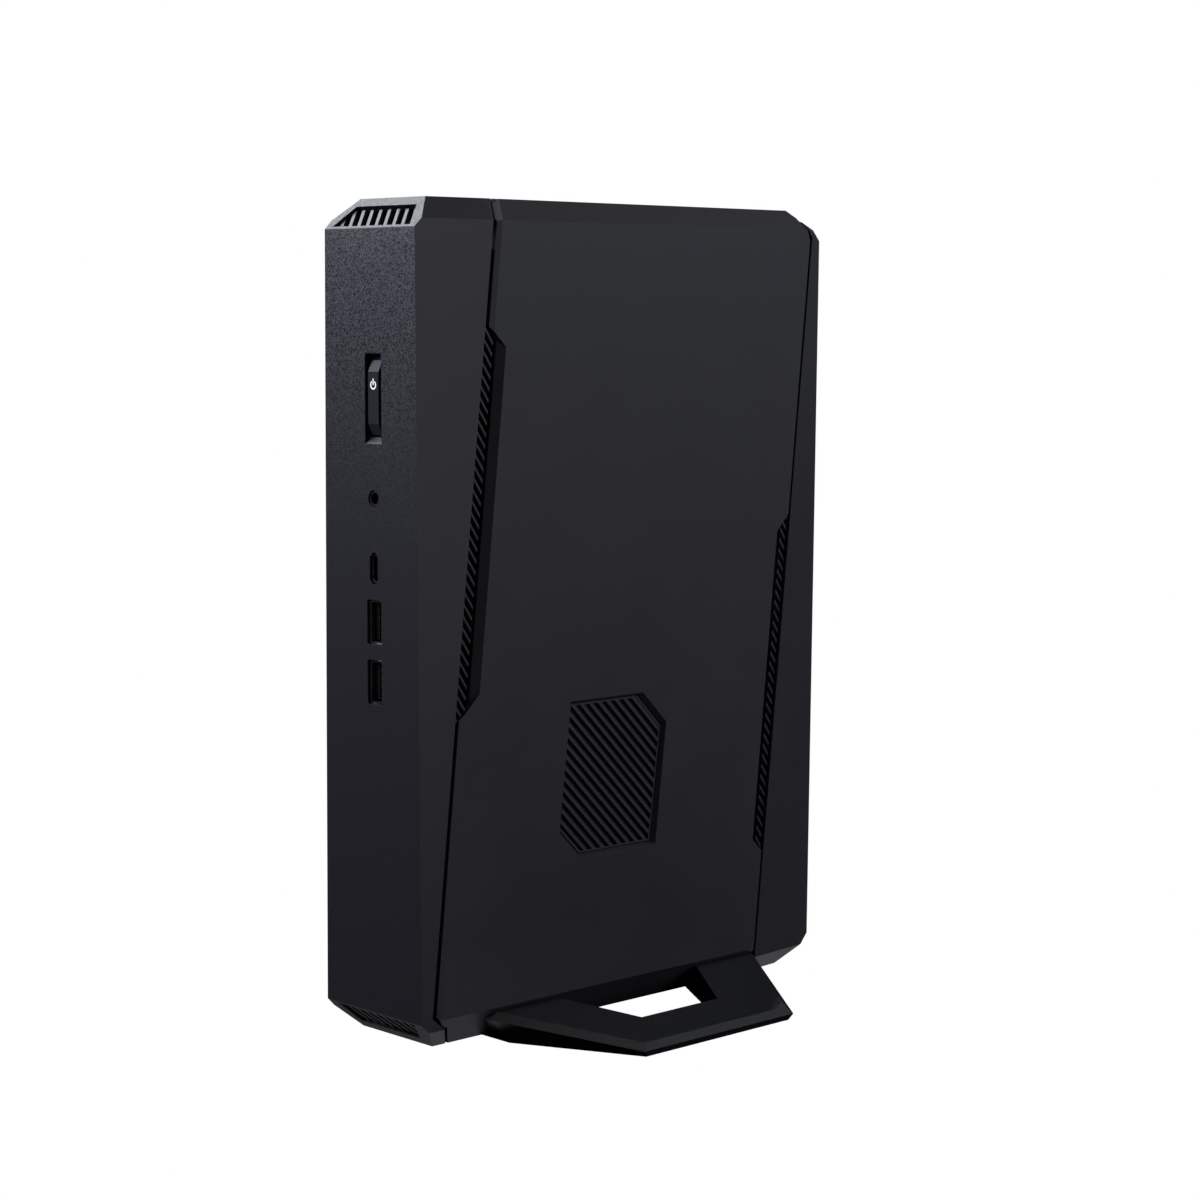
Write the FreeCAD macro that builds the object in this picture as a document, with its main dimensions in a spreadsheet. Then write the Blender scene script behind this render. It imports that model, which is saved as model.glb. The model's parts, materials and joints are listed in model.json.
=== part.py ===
"""Slim gaming mini pc that stands upright on a low winged stand.

Frame: millimetres, +Z up, the port side faces -Y, the origin is the middle of the
stand's footprint on the table.  x = 0 is the middle of the casing's thickness.
"""

import FreeCAD, Part
import math
import os
import re

import Sketcher
from FreeCAD import Placement, Rotation, Vector

SIZES = [
    # casing
    ("body_height", 262.95, "casing, bottom to top"),
    ("body_depth", 178.5, "casing, port side to rear"),
    ("body_thick", 47.8, "casing, between the flat side panels"),
    ("foot_height", 2.6, "casing bottom above the table"),
    ("wall", 2.4, "casing wall"),
    ("end_chamfer", 9.4, "chamfer along the two end edges at the port side"),
    ("rear_end_chamfer", 10.3, "chamfer along the two end edges at the rear"),
    ("side_chamfer", 6.75, "chamfer along the long top and bottom edges"),
    ("seam_lean", 5.95, "lean of both side seams, degrees"),
    ("front_seam", 17.15, "front seam behind the port side, at mid height"),
    ("rear_seam", 161.25, "rear seam behind the port side, at mid height"),
    ("front_seam_end", 3.5, "front seam from the port side, at the casing bottom"),
    ("rear_seam_end", 3.55, "rear seam from the rear face, at the casing top"),
    ("seam_gap", 1.0, "open gap between casing shells"),
    ("front_foot_turn", 11.45, "where the front seam turns aside, above the casing bottom"),
    ("front_foot_reach", 9.2, "where the turned front seam meets the edge band, from the port side"),
    ("front_foot_mitre", 6.0, "front seam's run across the bottom edge band, rearwards"),
    ("front_band_mitre", 4.3, "front seam's run across the top edge band, rearwards"),
    ("rear_foot_turn", 9.75, "where the rear seam turns aside, below the casing top"),
    ("rear_foot_reach", 6.0, "where the turned rear seam meets the edge band, from the rear"),
    ("rear_foot_mitre", 2.0, "rear seam's run across the top edge band, forwards"),
    ("rear_band_mitre", 4.3, "rear seam's run across the bottom edge band, forwards"),
    ("hem_tall", 9.9, "height of the panels' bottom chamfer, beside the stand"),
    ("hairline", 0.3, "gap between shells that close face to face"),
    ("front_facet_angle", 3.93, "inward tilt of the front side facets, degrees"),
    ("rear_facet_angle", 5.6, "inward tilt of the rear side facets, degrees"),
    ("tool_reach", 60.0, "how far a cutting tool runs past its work"),
    ("panel_gap", 1.1, "extra gap between the panel's front edge and the seam"),
    ("panel_bevel_wide", 1.6, "bevel on the panel's front edge, along the panel"),
    ("panel_bevel_deep", 0.8, "bevel on the panel's front edge, into the panel"),
    ("dc_jack_deep", 12.0, "power socket's body"),
    ("dc_jack_bore", 6.6, "power socket's bore, diameter"),
    ("dc_jack_pin", 2.1, "power socket's pin, diameter"),
    ("carrier_thick", 1.2, "processor carrier"),
    ("die_inset_y", 8.0, "die inside its carrier, along the casing"),
    ("die_inset_z", 6.0, "die inside its carrier, up the casing"),
    ("antenna_left", 16.0, "antenna's edge left of the middle"),
    ("antenna_wide", 7.0, "antenna strip"),
    ("antenna_long", 42.0, "antenna strip"),
    ("antenna_far", 60.0, "antenna's near end from the rear"),
    ("antenna_thick", 1.0, "antenna strip"),
    # side vents, measured in the seam's own frame
    ("front_vent_low", -20.1, "front vent's lower end along the seam"),
    ("front_vent_high", 87.2, "front vent's upper end along the seam"),
    ("front_vent_wide", 8.55, "front vent's reach into the panel"),
    ("front_vent_floor", 6.35, "front vent's reach at the panel's inner face"),
    ("rear_vent_low", -22.1, "rear vent's lower end along the flipped seam"),
    ("rear_vent_high", 84.2, "rear vent's upper end along the flipped seam"),
    ("rear_vent_wide", 5.4, "rear vent's reach into the panel"),
    ("rear_vent_floor", 4.6, "rear vent's reach at the panel's inner face"),
    ("vent_end_angle", 45.0, "slope of the vents' ends, degrees"),
    ("louvre_sunk", 1.0, "louvre slats below the panel's face"),
    ("louvre_back", 3.9, "louvre strip's inner face below the panel's face"),
    ("louvre_pitch", 3.545, "spacing of the louvre slats"),
    ("louvre_slot", 2.45, "opening between two louvre slats"),
    ("louvre_angle", 50.0, "slope of the louvre slats, degrees"),
    ("front_louvre_wide", 3.9, "front slats, from the seam"),
    ("rear_louvre_wide", 2.9, "rear slats, from the seam"),
    ("louvre_hem", 3.0, "louvre strip hidden under the casing's facet"),
    ("louvre_tail", 10.5, "louvre strip hidden under the panel"),
    ("louvre_low", -102.0, "louvre strip's end at the narrow facet"),
    ("louvre_high", 117.0, "louvre strip's end at the wide facet"),
    ("louvre_margin", 0.5, "raised slats clear of the vent's ends"),
    # intake window and grille in each side panel, from the port side and the casing bottom
    ("window_low", 53.1, "window's lower edge"),
    ("window_high", 104.3, "window's upper edge"),
    ("window_front_low", 57.2, "window's front edge above its cut corner"),
    ("window_front_high", 61.8, "window's front edge at the upper edge"),
    ("window_rear_low", 100.2, "window's rear edge at the lower edge"),
    ("window_rear_high", 105.1, "window's rear edge below its cut corner"),
    ("window_corner_low", 8.8, "cut corner at the window's lower front"),
    ("window_corner_high", 10.8, "cut corner at the window's upper rear"),
    ("window_bevel", 1.1, "bevel round the window"),
    ("grille_sunk", 1.7, "grille slats below the panel's face"),
    ("grille_flange", 4.0, "grille's hidden flange round the window"),
    ("grille_thick", 1.1, "grille flange's thickness"),
    ("grille_pitch", 2.72, "spacing of the grille slats"),
    ("grille_slot", 1.6, "opening between two grille slats"),
    ("grille_rim", 0.5, "rim round the grille slats"),
    ("grille_angle", 45.0, "slope of the grille slats, degrees"),
    ("filter_thick", 0.4, "dust filter's thickness"),
    # chamfer vents, measured up the sloping face from the port side's edge
    ("end_vent_low", 1.0, "vent's near edge"),
    ("end_vent_high", 9.8, "vent's far edge"),
    ("end_vent_half_low", 18.9, "vent's half width at its near edge"),
    ("end_vent_half_high", 14.6, "vent's half width at its far edge"),
    ("end_vent_rim", 0.6, "rim that joins the vent's teeth, at its near edge"),
    ("end_vent_tip", 0.9, "teeth's tips short of the vent's far edge"),
    ("end_vent_pitch", 4.23, "spacing of the slots, across the casing"),
    ("end_vent_slot", 2.58, "slot width, across the casing"),
    ("top_vent_turn", 27.0, "lean of the top slots across their sloping face, degrees"),
    ("bottom_vent_turn", 38.0, "lean of the bottom slots across their sloping face, degrees"),
    ("end_vent_sunk", 0.8, "vent insert's face below the sloping face"),
    ("end_vent_thick", 1.5, "vent insert's thickness"),
    # port side
    ("column_x", 1.55, "line of the front sockets, right of the middle"),
    ("button_z", 202.58, "centre of the power button's slot above the casing bottom"),
    ("button_slot_wide", 8.0, "slot round the button"),
    ("button_slot_tall", 25.75, "slot round the button"),
    ("button_slot_ramp", 1.9, "sloping sill at the slot's lower end"),
    ("button_wide", 5.0, "button's face"),
    ("button_tall", 23.0, "button at its root"),
    ("button_drop", 0.72, "button's centre below the slot's centre"),
    ("button_ramp", 3.5, "sloping ends of the button, up the face"),
    ("button_ramp_deep", 1.7, "sloping ends of the button, into the slot"),
    ("button_sunk", 0.1, "button's face behind the port side"),
    ("button_travel", 0.8, "how far the button goes in"),
    ("button_flange", 1.2, "button's flange behind the wall"),
    ("button_lip", 1.4, "flange's overlap all round"),
    ("clearance", 0.3, "gap between a moving piece and its neighbours"),
    ("icon_z", 3.95, "icon's centre above the button's centre"),
    ("icon_radius", 1.4, "icon ring, outer radius"),
    ("icon_line", 0.42, "icon's line width"),
    ("icon_bar", 2.0, "icon bar's upper end above the icon's centre"),
    ("icon_opening", 1.3, "icon ring's opening round the bar"),
    ("icon_proud", 0.05, "lens beyond the button's face"),
    ("icon_deep", 1.2, "lens into the button"),
    ("jack_z", 171.0, "audio jack's centre"),
    ("jack_hole", 5.2, "hole for the audio jack, diameter"),
    ("jack_nose", 4.8, "audio jack's nose, diameter"),
    ("jack_bore", 3.6, "audio jack's bore, diameter"),
    ("usb_c_z", 149.4, "usb-c socket's centre"),
    ("usb_c_hole_tall", 9.9, "hole for the usb-c socket"),
    ("usb_c_hole_wide", 4.2, "hole for the usb-c socket"),
    ("usb_c_tall", 8.94, "usb-c shell"),
    ("usb_c_wide", 3.26, "usb-c shell"),
    ("usb_c_deep", 7.3, "usb-c shell"),
    ("usb_c_corner", 1.0, "usb-c shell's cut corners"),
    ("usb_c_tongue_tall", 6.7, "usb-c tongue"),
    ("usb_c_tongue_thick", 0.75, "usb-c tongue"),
    ("usb_c_tongue_sunk", 1.4, "usb-c tongue behind the port side"),
    ("usb_a_upper_z", 132.7, "upper usb-a socket's centre"),
    ("usb_a_lower_z", 114.0, "lower usb-a socket's centre"),
    ("usb_a_hole_tall", 13.9, "hole for a usb-a socket"),
    ("usb_a_hole_wide", 7.1, "hole for a usb-a socket"),
    ("usb_a_tall", 13.14, "usb-a shell"),
    ("usb_a_wide", 5.7, "usb-a shell"),
    ("usb_a_deep", 14.0, "usb-a shell"),
    ("usb_a_tongue_tall", 11.1, "usb-a tongue"),
    ("usb_a_tongue_thick", 1.84, "usb-a tongue"),
    ("usb_a_tongue_offset", 0.8, "tongue's far side from the shell's far side"),
    ("contact_pitch", 2.4, "spacing of the usb-a contacts"),
    ("contact_wide", 1.0, "usb-a contact's width"),
    ("contact_thick", 0.25, "usb-a contact's height on the tongue"),
    ("shell_sheet", 0.35, "sheet thickness of the socket shells"),
    ("socket_sunk", 0.7, "socket shells behind the port side"),
    ("tongue_sunk", 2.2, "tongues behind the port side"),
    # boards
    ("board_face", 4.9, "component side of both boards, right of the middle"),
    ("board_thick", 1.6, "circuit boards"),
    ("front_board_low", 104.0, "front board's lower edge"),
    ("front_board_high", 216.0, "front board's upper edge"),
    ("front_board_near", 5.0, "front board's near edge, behind the port side"),
    ("front_board_far", 33.0, "front board's far edge"),
    ("board_near", 36.0, "motherboard's near edge, behind the port side"),
    ("board_far", 168.0, "motherboard's far edge"),
    ("board_low", 14.0, "motherboard's lower edge"),
    ("board_high", 246.0, "motherboard's upper edge"),
    ("board_hole", 3.2, "screw holes in the boards, diameter"),
    ("screw_inset", 6.0, "board screws from the board's edges"),
    ("standoff_tall", 4.0, "standoffs between the board and the chassis plate"),
    ("standoff_wide", 6.0, "standoffs, diameter"),
    ("screw_shank", 2.9, "board screw shank, diameter"),
    ("screw_head", 5.2, "board screw head, diameter"),
    ("screw_head_tall", 1.6, "board screw head"),
    ("chassis_sheet", 1.0, "chassis plate's sheet"),
    ("chassis_rail", 12.0, "chassis plate's rails round its opening"),
    # cooling
    ("fan_y", 81.3, "both fans' centre, behind the port side"),
    ("fan_z", 78.2, "both fans' centre, above the casing bottom"),
    ("fan_radius", 24.0, "impeller's outer radius"),
    ("fan_hub", 11.0, "impeller's hub radius"),
    ("fan_blade", 0.9, "impeller blade's thickness"),
    ("fan_case", 27.5, "blower case's inner radius"),
    ("fan_wall", 1.2, "blower case's wall"),
    ("fan_inlet", 20.0, "blower's inlet radius"),
    ("fan_outlet", 118.0, "blower outlet, behind the port side"),
    ("fan_gap", 0.6, "impeller clear of the blower's plates"),
    ("stator_radius", 8.5, "fan motor's stator"),
    ("fan_shaft", 1.5, "fan motor's shaft radius"),
    ("shaft_clearance", 0.05, "radial clearance of the shaft in its hub"),
    ("right_fan_low", 8.8, "right blower's inner plate, right of the middle"),
    ("right_fan_high", 19.2, "right blower's cover, right of the middle"),
    ("left_fan_low", -19.2, "left blower's cover"),
    ("left_fan_high", -6.0, "left blower's inner plate"),
    ("fin_near", 119.0, "fin stack, behind the port side"),
    ("fin_far", 170.0, "fin stack, behind the port side"),
    ("fin_low", 50.0, "fin stack, above the casing bottom"),
    ("fin_high", 106.0, "fin stack, above the casing bottom"),
    ("fin_pitch", 2.4, "spacing of the fins"),
    ("fin_thick", 0.5, "one fin"),
    ("fin_base", 1.5, "fin stack's base plate"),
    ("pipe_wide", 8.0, "flattened heat pipes"),
    ("pipe_thick", 3.0, "flattened heat pipes"),
    ("pipe_bend", 18.0, "heat pipe's bend radius"),
    ("chip_thick", 2.0, "processor packages with their dies"),
    ("cold_plate_thick", 2.4, "cold plate"),
    # stand
    ("stand_inner", 24.2, "stand's lip from the middle, at the panels"),
    ("stand_outer", 66.3, "stand's wing tips from the middle"),
    ("stand_near_inner", 35.4, "wing's front edge at the casing, behind the port side"),
    ("stand_near_outer", 56.3, "wing's front edge at its tip"),
    ("stand_far_outer", 120.5, "wing's rear edge at its tip"),
    ("stand_far_inner", 139.2, "wing's rear edge at the casing"),
    ("stand_rim_drop", 2.1, "bevel along the wing tips, down"),
    ("stand_rim_run", 2.2, "bevel along the wing tips, across"),
    ("stand_lip_top", 8.55, "lip above the casing bottom"),
    ("stand_tip_top", 1.95, "wing's top at its tip, above the casing bottom"),
    ("stand_lean", 9.8, "how far the wing's front wall leans out at the lip"),
    ("stand_undercut", 1.0, "wing tip's outer wall, leaning in at the table"),
    ("stand_bevel_turn", 48.0, "direction of the bevels along the wing's front and rear edges"),
    ("stand_bevel_tilt", 40.0, "tilt of those bevels from the level"),
    ("stand_near_bevel", 54.8, "front bevel's lower corner at the wing tip"),
    ("stand_far_bevel", 122.2, "rear bevel's lower corner at the wing tip"),
    ("stand_pad_thick", 0.3, "rubber pads"),
    ("stand_window_inner", 11.1, "window's inner edge from the middle"),
    ("stand_window_outer", 48.5, "window's outer edge"),
    ("stand_window_near", 49.5, "window's front corner at its inner edge"),
    ("stand_window_near_outer", 70.2, "window's front corner at its outer edge"),
    ("stand_window_far_outer", 104.8, "window's rear corner at its outer edge"),
    ("stand_window_far", 127.5, "window's rear corner at its inner edge"),
    ("pad_wide", 14.0, "rubber pad under the casing"),
    ("pad_long", 24.0, "rubber pad under the casing"),
    ("pad_round", 9.0, "rubber pads under the wing tips, diameter"),
    ("pad_inset", 7.3, "rubber pads' centres from the wing tips"),
    ("pad_apart", 44.0, "rubber pads' centres, apart along a wing tip"),
    ("stand_sink", 1.0, "stand screws' seats above the table side"),
    ("stand_head", 0.8, "stand screws' head height"),
    ("stand_screw_pitch", 60.0, "stand screws, apart along the casing"),
    ("stand_screw", 4.0, "stand screw shank, diameter"),
    ("stand_boss", 8.0, "screw boss on the bottom cover, diameter"),
    # rear ports
    ("io_low", 118.0, "rear port plate's lower edge"),
    ("io_high", 240.0, "rear port plate's upper edge"),
    ("io_left", -13.0, "rear port plate's left edge"),
    ("io_right", 9.0, "rear port plate's right edge"),
    ("io_sheet", 0.8, "rear port plate's sheet"),
    ("io_sunk", 1.2, "rear port plate behind the rear face"),
    ("rear_screw", 3.0, "case screws, diameter"),
    ("rear_screw_head", 6.0, "case screw heads, diameter"),
    ("rear_screw_sunk", 1.4, "case screw seats below the rear face"),
]

FRONT = "-body_depth / 2"
REAR = "body_depth / 2"
BASE = "foot_height"
TOP = "(foot_height + body_height)"
HALF = "body_thick / 2"
MID_Z = "(foot_height + body_height / 2)"
INSIDE = "(body_thick / 2 - wall)"

doc = FreeCAD.newDocument("mini_pc")
sheet = doc.addObject("Spreadsheet::Sheet", "Sizes")
for row, (alias, number, note) in enumerate(SIZES, start=1):
    sheet.set(f"A{row}", alias)
    sheet.set(f"B{row}", str(number))
    sheet.setAlias(f"B{row}", alias)
    sheet.set(f"C{row}", note)
doc.recompute()

ALIASES = {alias for alias, number, note in SIZES}
nodes = {}


def value(text):
    """The number that an expression over the sheet's words gives now."""
    return float(sheet.evalExpression(str(text)))


def bound(text):
    """The expression with each of the sheet's words made a reference to its cell."""
    words = lambda match: f"Sizes.{match[0]}" if match[0] in ALIASES else match[0]
    return re.sub(r"[a-z][a-z_]*", words, str(text))


def bind(thing, path, text):
    thing.setExpression(path, bound(text))


def origin_item(body, role):
    return next(item for item in body.Origin.OriginFeatures if item.Role == role)


def sketch_on(body, plane, level, outlines, circles):
    """A sketch parallel to an origin plane: straight outlines and circles."""
    sketch = body.newObject("Sketcher::SketchObject", f"{body.Name}_sketch")
    sketch.AttachmentSupport = [(origin_item(body, f"{plane}_Plane"), "")]
    sketch.MapMode = "FlatFace"
    side = "-" if plane == "XZ" else ""
    bind(sketch, "AttachmentOffset.Base.z", f"{side}({level})")
    for outline in outlines:
        first = sketch.GeometryCount
        corners = [Vector(value(u), value(v), 0) for u, v in outline]
        count = len(corners)
        for index, corner in enumerate(corners):
            sketch.addGeometry(Part.LineSegment(corner, corners[(index + 1) % count]), False)
        for index in range(count):
            following = first + (index + 1) % count
            sketch.addConstraint(Sketcher.Constraint("Coincident", first + index, 2, following, 1))
        for index, (u, v) in enumerate(outline):
            pin_point(sketch, first + index, 1, u, v)
    for u, v, diameter in circles:
        index = sketch.addGeometry(
            Part.Circle(Vector(value(u), value(v), 0), Vector(0, 0, 1), value(diameter) / 2), False
        )
        pin_point(sketch, index, 3, u, v)
        across = sketch.addConstraint(Sketcher.Constraint("Diameter", index, value(diameter)))
        bind(sketch, f"Constraints[{across}]", diameter)
    return sketch


def pin_point(sketch, index, point, u, v):
    for kind, text in (("DistanceX", u), ("DistanceY", v)):
        name = sketch.addConstraint(Sketcher.Constraint(kind, -1, 1, index, point, value(text)))
        bind(sketch, f"Constraints[{name}]", text)


def pad(body, plane, low, high, outlines=(), circles=()):
    """Adds material between two levels along the plane's axis."""
    sketch = sketch_on(body, plane, high if plane == "XZ" else low, outlines, circles)
    feature = body.newObject("PartDesign::Pad", f"{body.Name}_pad")
    feature.Profile = sketch
    bind(feature, "Length", f"({high}) - ({low})")
    return feature


def pocket(body, plane, low, high, outlines=(), circles=()):
    """Takes material away between two levels along the plane's axis."""
    before = solid_volume(body)
    sketch = sketch_on(body, plane, low if plane == "XZ" else high, outlines, circles)
    feature = body.newObject("PartDesign::Pocket", f"{body.Name}_pocket")
    feature.Profile = sketch
    bind(feature, "Length", f"({high}) - ({low})")
    if solid_volume(body) >= before:
        raise ValueError(f"a pocket in {body.Label} cuts nothing")
    return feature


def solid_volume(body):
    doc.recompute()
    return body.Shape.Volume


def prism(label, plane, low, high, outlines=(), circles=(), place=None):
    """A body that starts as one pad."""
    body = doc.addObject("PartDesign::Body", label)
    body.Label = label
    pad(body, plane, low, high, outlines, circles)
    if place:
        body.Placement = place
    return body


def repeat(body, feature, role, pitch, count):
    """Repeats a feature along one of the body's own axes."""
    pattern = body.newObject("PartDesign::LinearPattern", f"{body.Name}_pattern")
    pattern.Originals = [feature]
    pattern.Direction = (origin_item(body, role), [""])
    bind(pattern, "Length", f"({pitch}) * {count - 1}")
    pattern.Occurrences = count
    body.Tip = pattern
    return pattern


def turn_round(body, feature, role, count):
    """Repeats a feature round one of the body's own axes."""
    pattern = body.newObject("PartDesign::PolarPattern", f"{body.Name}_pattern")
    pattern.Originals = [feature]
    pattern.Axis = (origin_item(body, role), [""])
    pattern.Angle = 360
    pattern.Occurrences = count
    body.Tip = pattern
    return pattern


def block(label, x, y, z):
    """A box from three (low, high) spans."""
    box = doc.addObject("Part::Box", label)
    for side, axis, (low, high) in zip(("Length", "Width", "Height"), "xyz", (x, y, z)):
        bind(box, side, f"({high}) - ({low})")
        bind(box, f"Placement.Base.{axis}", low)
    return box


TURNS = {
    "X": Rotation(Vector(0, 1, 0), 90),
    "Y": Rotation(Vector(1, 0, 0), -90),
    "Z": Rotation(),
}


def rod(label, axis, centre, low, high, diameter):
    """A cylinder along a row axis; centre gives its other two coordinates in order."""
    cylinder = doc.addObject("Part::Cylinder", label)
    bind(cylinder, "Radius", f"({diameter}) / 2")
    bind(cylinder, "Height", f"({high}) - ({low})")
    cylinder.Placement = Placement(Vector(), TURNS[axis])
    across = [letter for letter in "XYZ" if letter != axis]
    for letter, text in zip([axis] + across, [low, *centre]):
        bind(cylinder, f"Placement.Base.{letter.lower()}", text)
    return cylinder


def cut(label, base, tool):
    result = doc.addObject("Part::Cut", label)
    result.Base = base
    result.Tool = tool
    return result


def common(label, base, tool):
    result = doc.addObject("Part::Common", label)
    result.Base = base
    result.Tool = tool
    return result


def fuse(label, shapes):
    result = doc.addObject("Part::MultiFuse", label)
    result.Shapes = shapes
    result.Refine = True
    return result


def group(label, things):
    result = doc.addObject("Part::Compound", label)
    result.Links = things
    return result


def mirrored(label, thing):
    """The same piece on the other side of the middle."""
    result = doc.addObject("Part::Mirroring", label)
    result.Source = thing
    result.Normal = Vector(1, 0, 0)
    return result


def keep(name, thing):
    thing.Label = name
    nodes[name] = thing
    return thing


def span(centre, size):
    """Low and high of a size that is centred on a place."""
    return f"({centre}) - ({size}) / 2", f"({centre}) + ({size}) / 2"


def rect(u, v):
    """A rectangle from two (low, high) spans."""
    return [(u[0], v[0]), (u[1], v[0]), (u[1], v[1]), (u[0], v[1])]


def octagon(u, v, corner):
    """A rectangle with its four corners cut at 45 degrees."""
    (left, right), (low, high) = u, v
    return [
        (f"{left} + {corner}", low),
        (f"{right} - ({corner})", low),
        (right, f"{low} + {corner}"),
        (right, f"{high} - ({corner})"),
        (f"{right} - ({corner})", high),
        (f"{left} + {corner}", high),
        (left, f"{high} - ({corner})"),
        (left, f"{low} + {corner}"),
    ]


def seam_place(which):
    """The seam's own frame: Z along the seam, Y square to it and into the panel."""
    turn = -value("seam_lean") if which == "front" else 180 - value("seam_lean")
    place_y = value(f"{FRONT} + {which}_seam")
    return Placement(Vector(0, place_y, value(MID_Z)), Rotation(Vector(1, 0, 0), turn))


SEAMS = {which: seam_place(which) for which in ("front", "rear")}


def casing_side(deep, tall, front, rear):
    """The casing's outline from the side, with its four end chamfers."""
    (near, far), (low, high) = deep, tall
    return [
        (f"{near} + {front}", low),
        (f"{far} - {rear}", low),
        (far, f"{low} + {rear}"),
        (far, f"{high} - {rear}"),
        (f"{far} - {rear}", high),
        (f"{near} + {front}", high),
        (near, f"{high} - {front}"),
        (near, f"{low} + {front}"),
    ]


def envelope(name, inset):
    """The casing's closed outer form, moved inwards by an inset."""
    shrink = f"(2 - sqrt(2)) * ({inset})"
    deep = (f"{FRONT} + {inset}", f"{REAR} - ({inset})")
    tall = (f"{BASE} + {inset}", f"{TOP} - ({inset})")
    thick = (f"-{HALF} + {inset}", f"{HALF} - ({inset})")
    front, rear = f"(end_chamfer - {shrink})", f"(rear_end_chamfer - {shrink})"
    side = prism(f"{name}_side", "YZ", *thick, [casing_side(deep, tall, front, rear)])
    end = prism(
        f"{name}_end", "XZ", *deep, [octagon(thick, tall, f"(side_chamfer - {shrink})")]
    )
    result = common(f"{name}_block", side, end)
    half = f"({HALF} - ({inset}))"
    for which, place in SEAMS.items():
        narrow = f"({half} - tool_reach * tan({which}_facet_angle))"
        outline = [
            (half, "0"),
            (half, "4 * tool_reach"),
            (f"-{half}", "4 * tool_reach"),
            (f"-{half}", "0"),
            (f"-{narrow}", "-tool_reach"),
            (narrow, "-tool_reach"),
        ]
        reach = ("-3 * tool_reach", "3 * tool_reach")
        facets = prism(f"{name}_{which}_facets", "XY", *reach, [outline], place=place)
        result = common(f"{name}_{which}", result, facets)
    return result


def seam_zone(name, which, low, high):
    """Everything between two distances from a seam."""
    outline = rect((low, high), ("-3 * tool_reach", "3 * tool_reach"))
    return prism(name, "YZ", "-tool_reach", "tool_reach", [outline], place=SEAMS[which])


def lofted(label, plane, sections, place=None):
    """A straight-sided solid between two outlines at two levels."""
    body = doc.addObject("PartDesign::Body", label)
    sketches = [sketch_on(body, plane, level, [outline], []) for level, outline in sections]
    loft = body.newObject("PartDesign::AdditiveLoft", f"{label}_loft")
    loft.Profile = sketches[0]
    loft.Sections = sketches[1:]
    loft.Ruled = True
    if place:
        body.Placement = place
    return body


def vent_outline(which, reach):
    """A vent's outline in the seam's frame: its ends slope at the vents' end angle."""
    start = "-2 * seam_gap"
    run = f"({reach} + 2 * seam_gap)"
    rise = f"{run} * tan(vent_end_angle - seam_lean)"
    fall = f"{run} * tan(vent_end_angle + seam_lean)"
    offset = f"({which}_vent_wide - ({reach}))"
    high = f"{which}_vent_high + {offset} * tan(vent_end_angle - seam_lean)"
    low = f"{which}_vent_low - {offset} * tan(vent_end_angle + seam_lean)"
    return [(start, f"{low} - {fall}"), (reach, low), (reach, high), (start, f"{high} + {rise}")]


def window_outline(grow):
    """The intake window's outline, grown outwards by a margin."""
    low = f"({BASE} + window_low - ({grow}))"
    high = f"({BASE} + window_high + {grow})"
    front_low = f"({FRONT} + window_front_low - ({grow}))"
    front_high = f"({FRONT} + window_front_high - ({grow}))"
    rear_low = f"({FRONT} + window_rear_low + {grow})"
    rear_high = f"({FRONT} + window_rear_high + {grow})"
    return [
        (f"{front_low} + window_corner_low", low),
        (rear_low, low),
        (rear_high, f"{high} - window_corner_high"),
        (f"{rear_high} - window_corner_high", high),
        (front_high, high),
        (front_low, f"{low} + window_corner_low"),
    ]


# ---- casing -------------------------------------------------------------------------

def facet_chamfer(which):
    """The edge chamfer's cut where it turns inwards with a side facet, on both sides."""
    sign = 1 if which == "front" else -1
    level = f"({MID_Z} + {sign} * (body_height / 2 - side_chamfer))"
    along = f"({FRONT} + {which}_seam + {sign} * (body_height / 2 - side_chamfer) * tan(seam_lean))"
    place = Placement(
        Vector(*(value(level) for level in (HALF, along, level))),
        Rotation(Vector(0, 0, 1), -sign * value(f"{which}_facet_angle"))
        * Rotation(Vector(0, 1, 0), 90 - sign * 45),
    )
    half_space = [rect(LONG, LONG)]
    tool = prism(f"{which}_facet_chamfer", "XY", "0", "tool_reach", half_space, place=place)
    return [tool, mirrored(f"{which}_facet_chamfer_left", tool)]


LONG = ("-2 * tool_reach", "2 * tool_reach")
outer_block = envelope("outer", "0")
facet_chamfers = fuse("facet_chamfers", facet_chamfer("front") + facet_chamfer("rear"))
outer = cut("outer", outer_block, facet_chamfers)
inner = envelope("inner", "wall")
shell = cut("shell", outer, inner)
HALF_GAP = "seam_gap / 2"
FAR = "3 * tool_reach"
SPLIT = f"({HALF} - side_chamfer)"


def end_frame(which):
    """The frame at the foot of one end casing: Y inwards from its wall, Z away from its foot."""
    corner = (FRONT, BASE) if which == "front" else (REAR, TOP)
    turn = 0 if which == "front" else 180
    return Placement(Vector(0, *(value(level) for level in corner)), Rotation(Vector(1, 0, 0), turn))


def seam_foot(which, grow):
    """The corner that an end casing keeps where its seam is near the end wall."""
    turn = f"({which}_foot_turn + {grow})"
    near = f"({which}_seam_end + {turn} * tan(seam_lean) + {grow})"
    far = f"({which}_foot_reach + {grow})"
    outline = [
        ("-wall", "-wall"),
        (far, "-wall"),
        (far, "side_chamfer"),
        (near, turn),
        ("-wall", turn),
    ]
    return prism(
        f"{which}_foot", "YZ", "-tool_reach", "tool_reach", [outline], place=end_frame(which)
    )


def band_zone(label, which, levels, at, mitre, grow):
    """What an end casing keeps of one edge band: its seam runs across the band aslant."""
    near, far = f"({at} + {grow})", f"({at} + {mitre} + {grow})"
    outline = [
        (f"-{HALF}", "-wall"),
        (HALF, "-wall"),
        (HALF, near),
        (SPLIT, far),
        (f"-{SPLIT}", far),
        (f"-{HALF}", near),
    ]
    return prism(label, "XY", *levels, [outline], place=end_frame(which))


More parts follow.
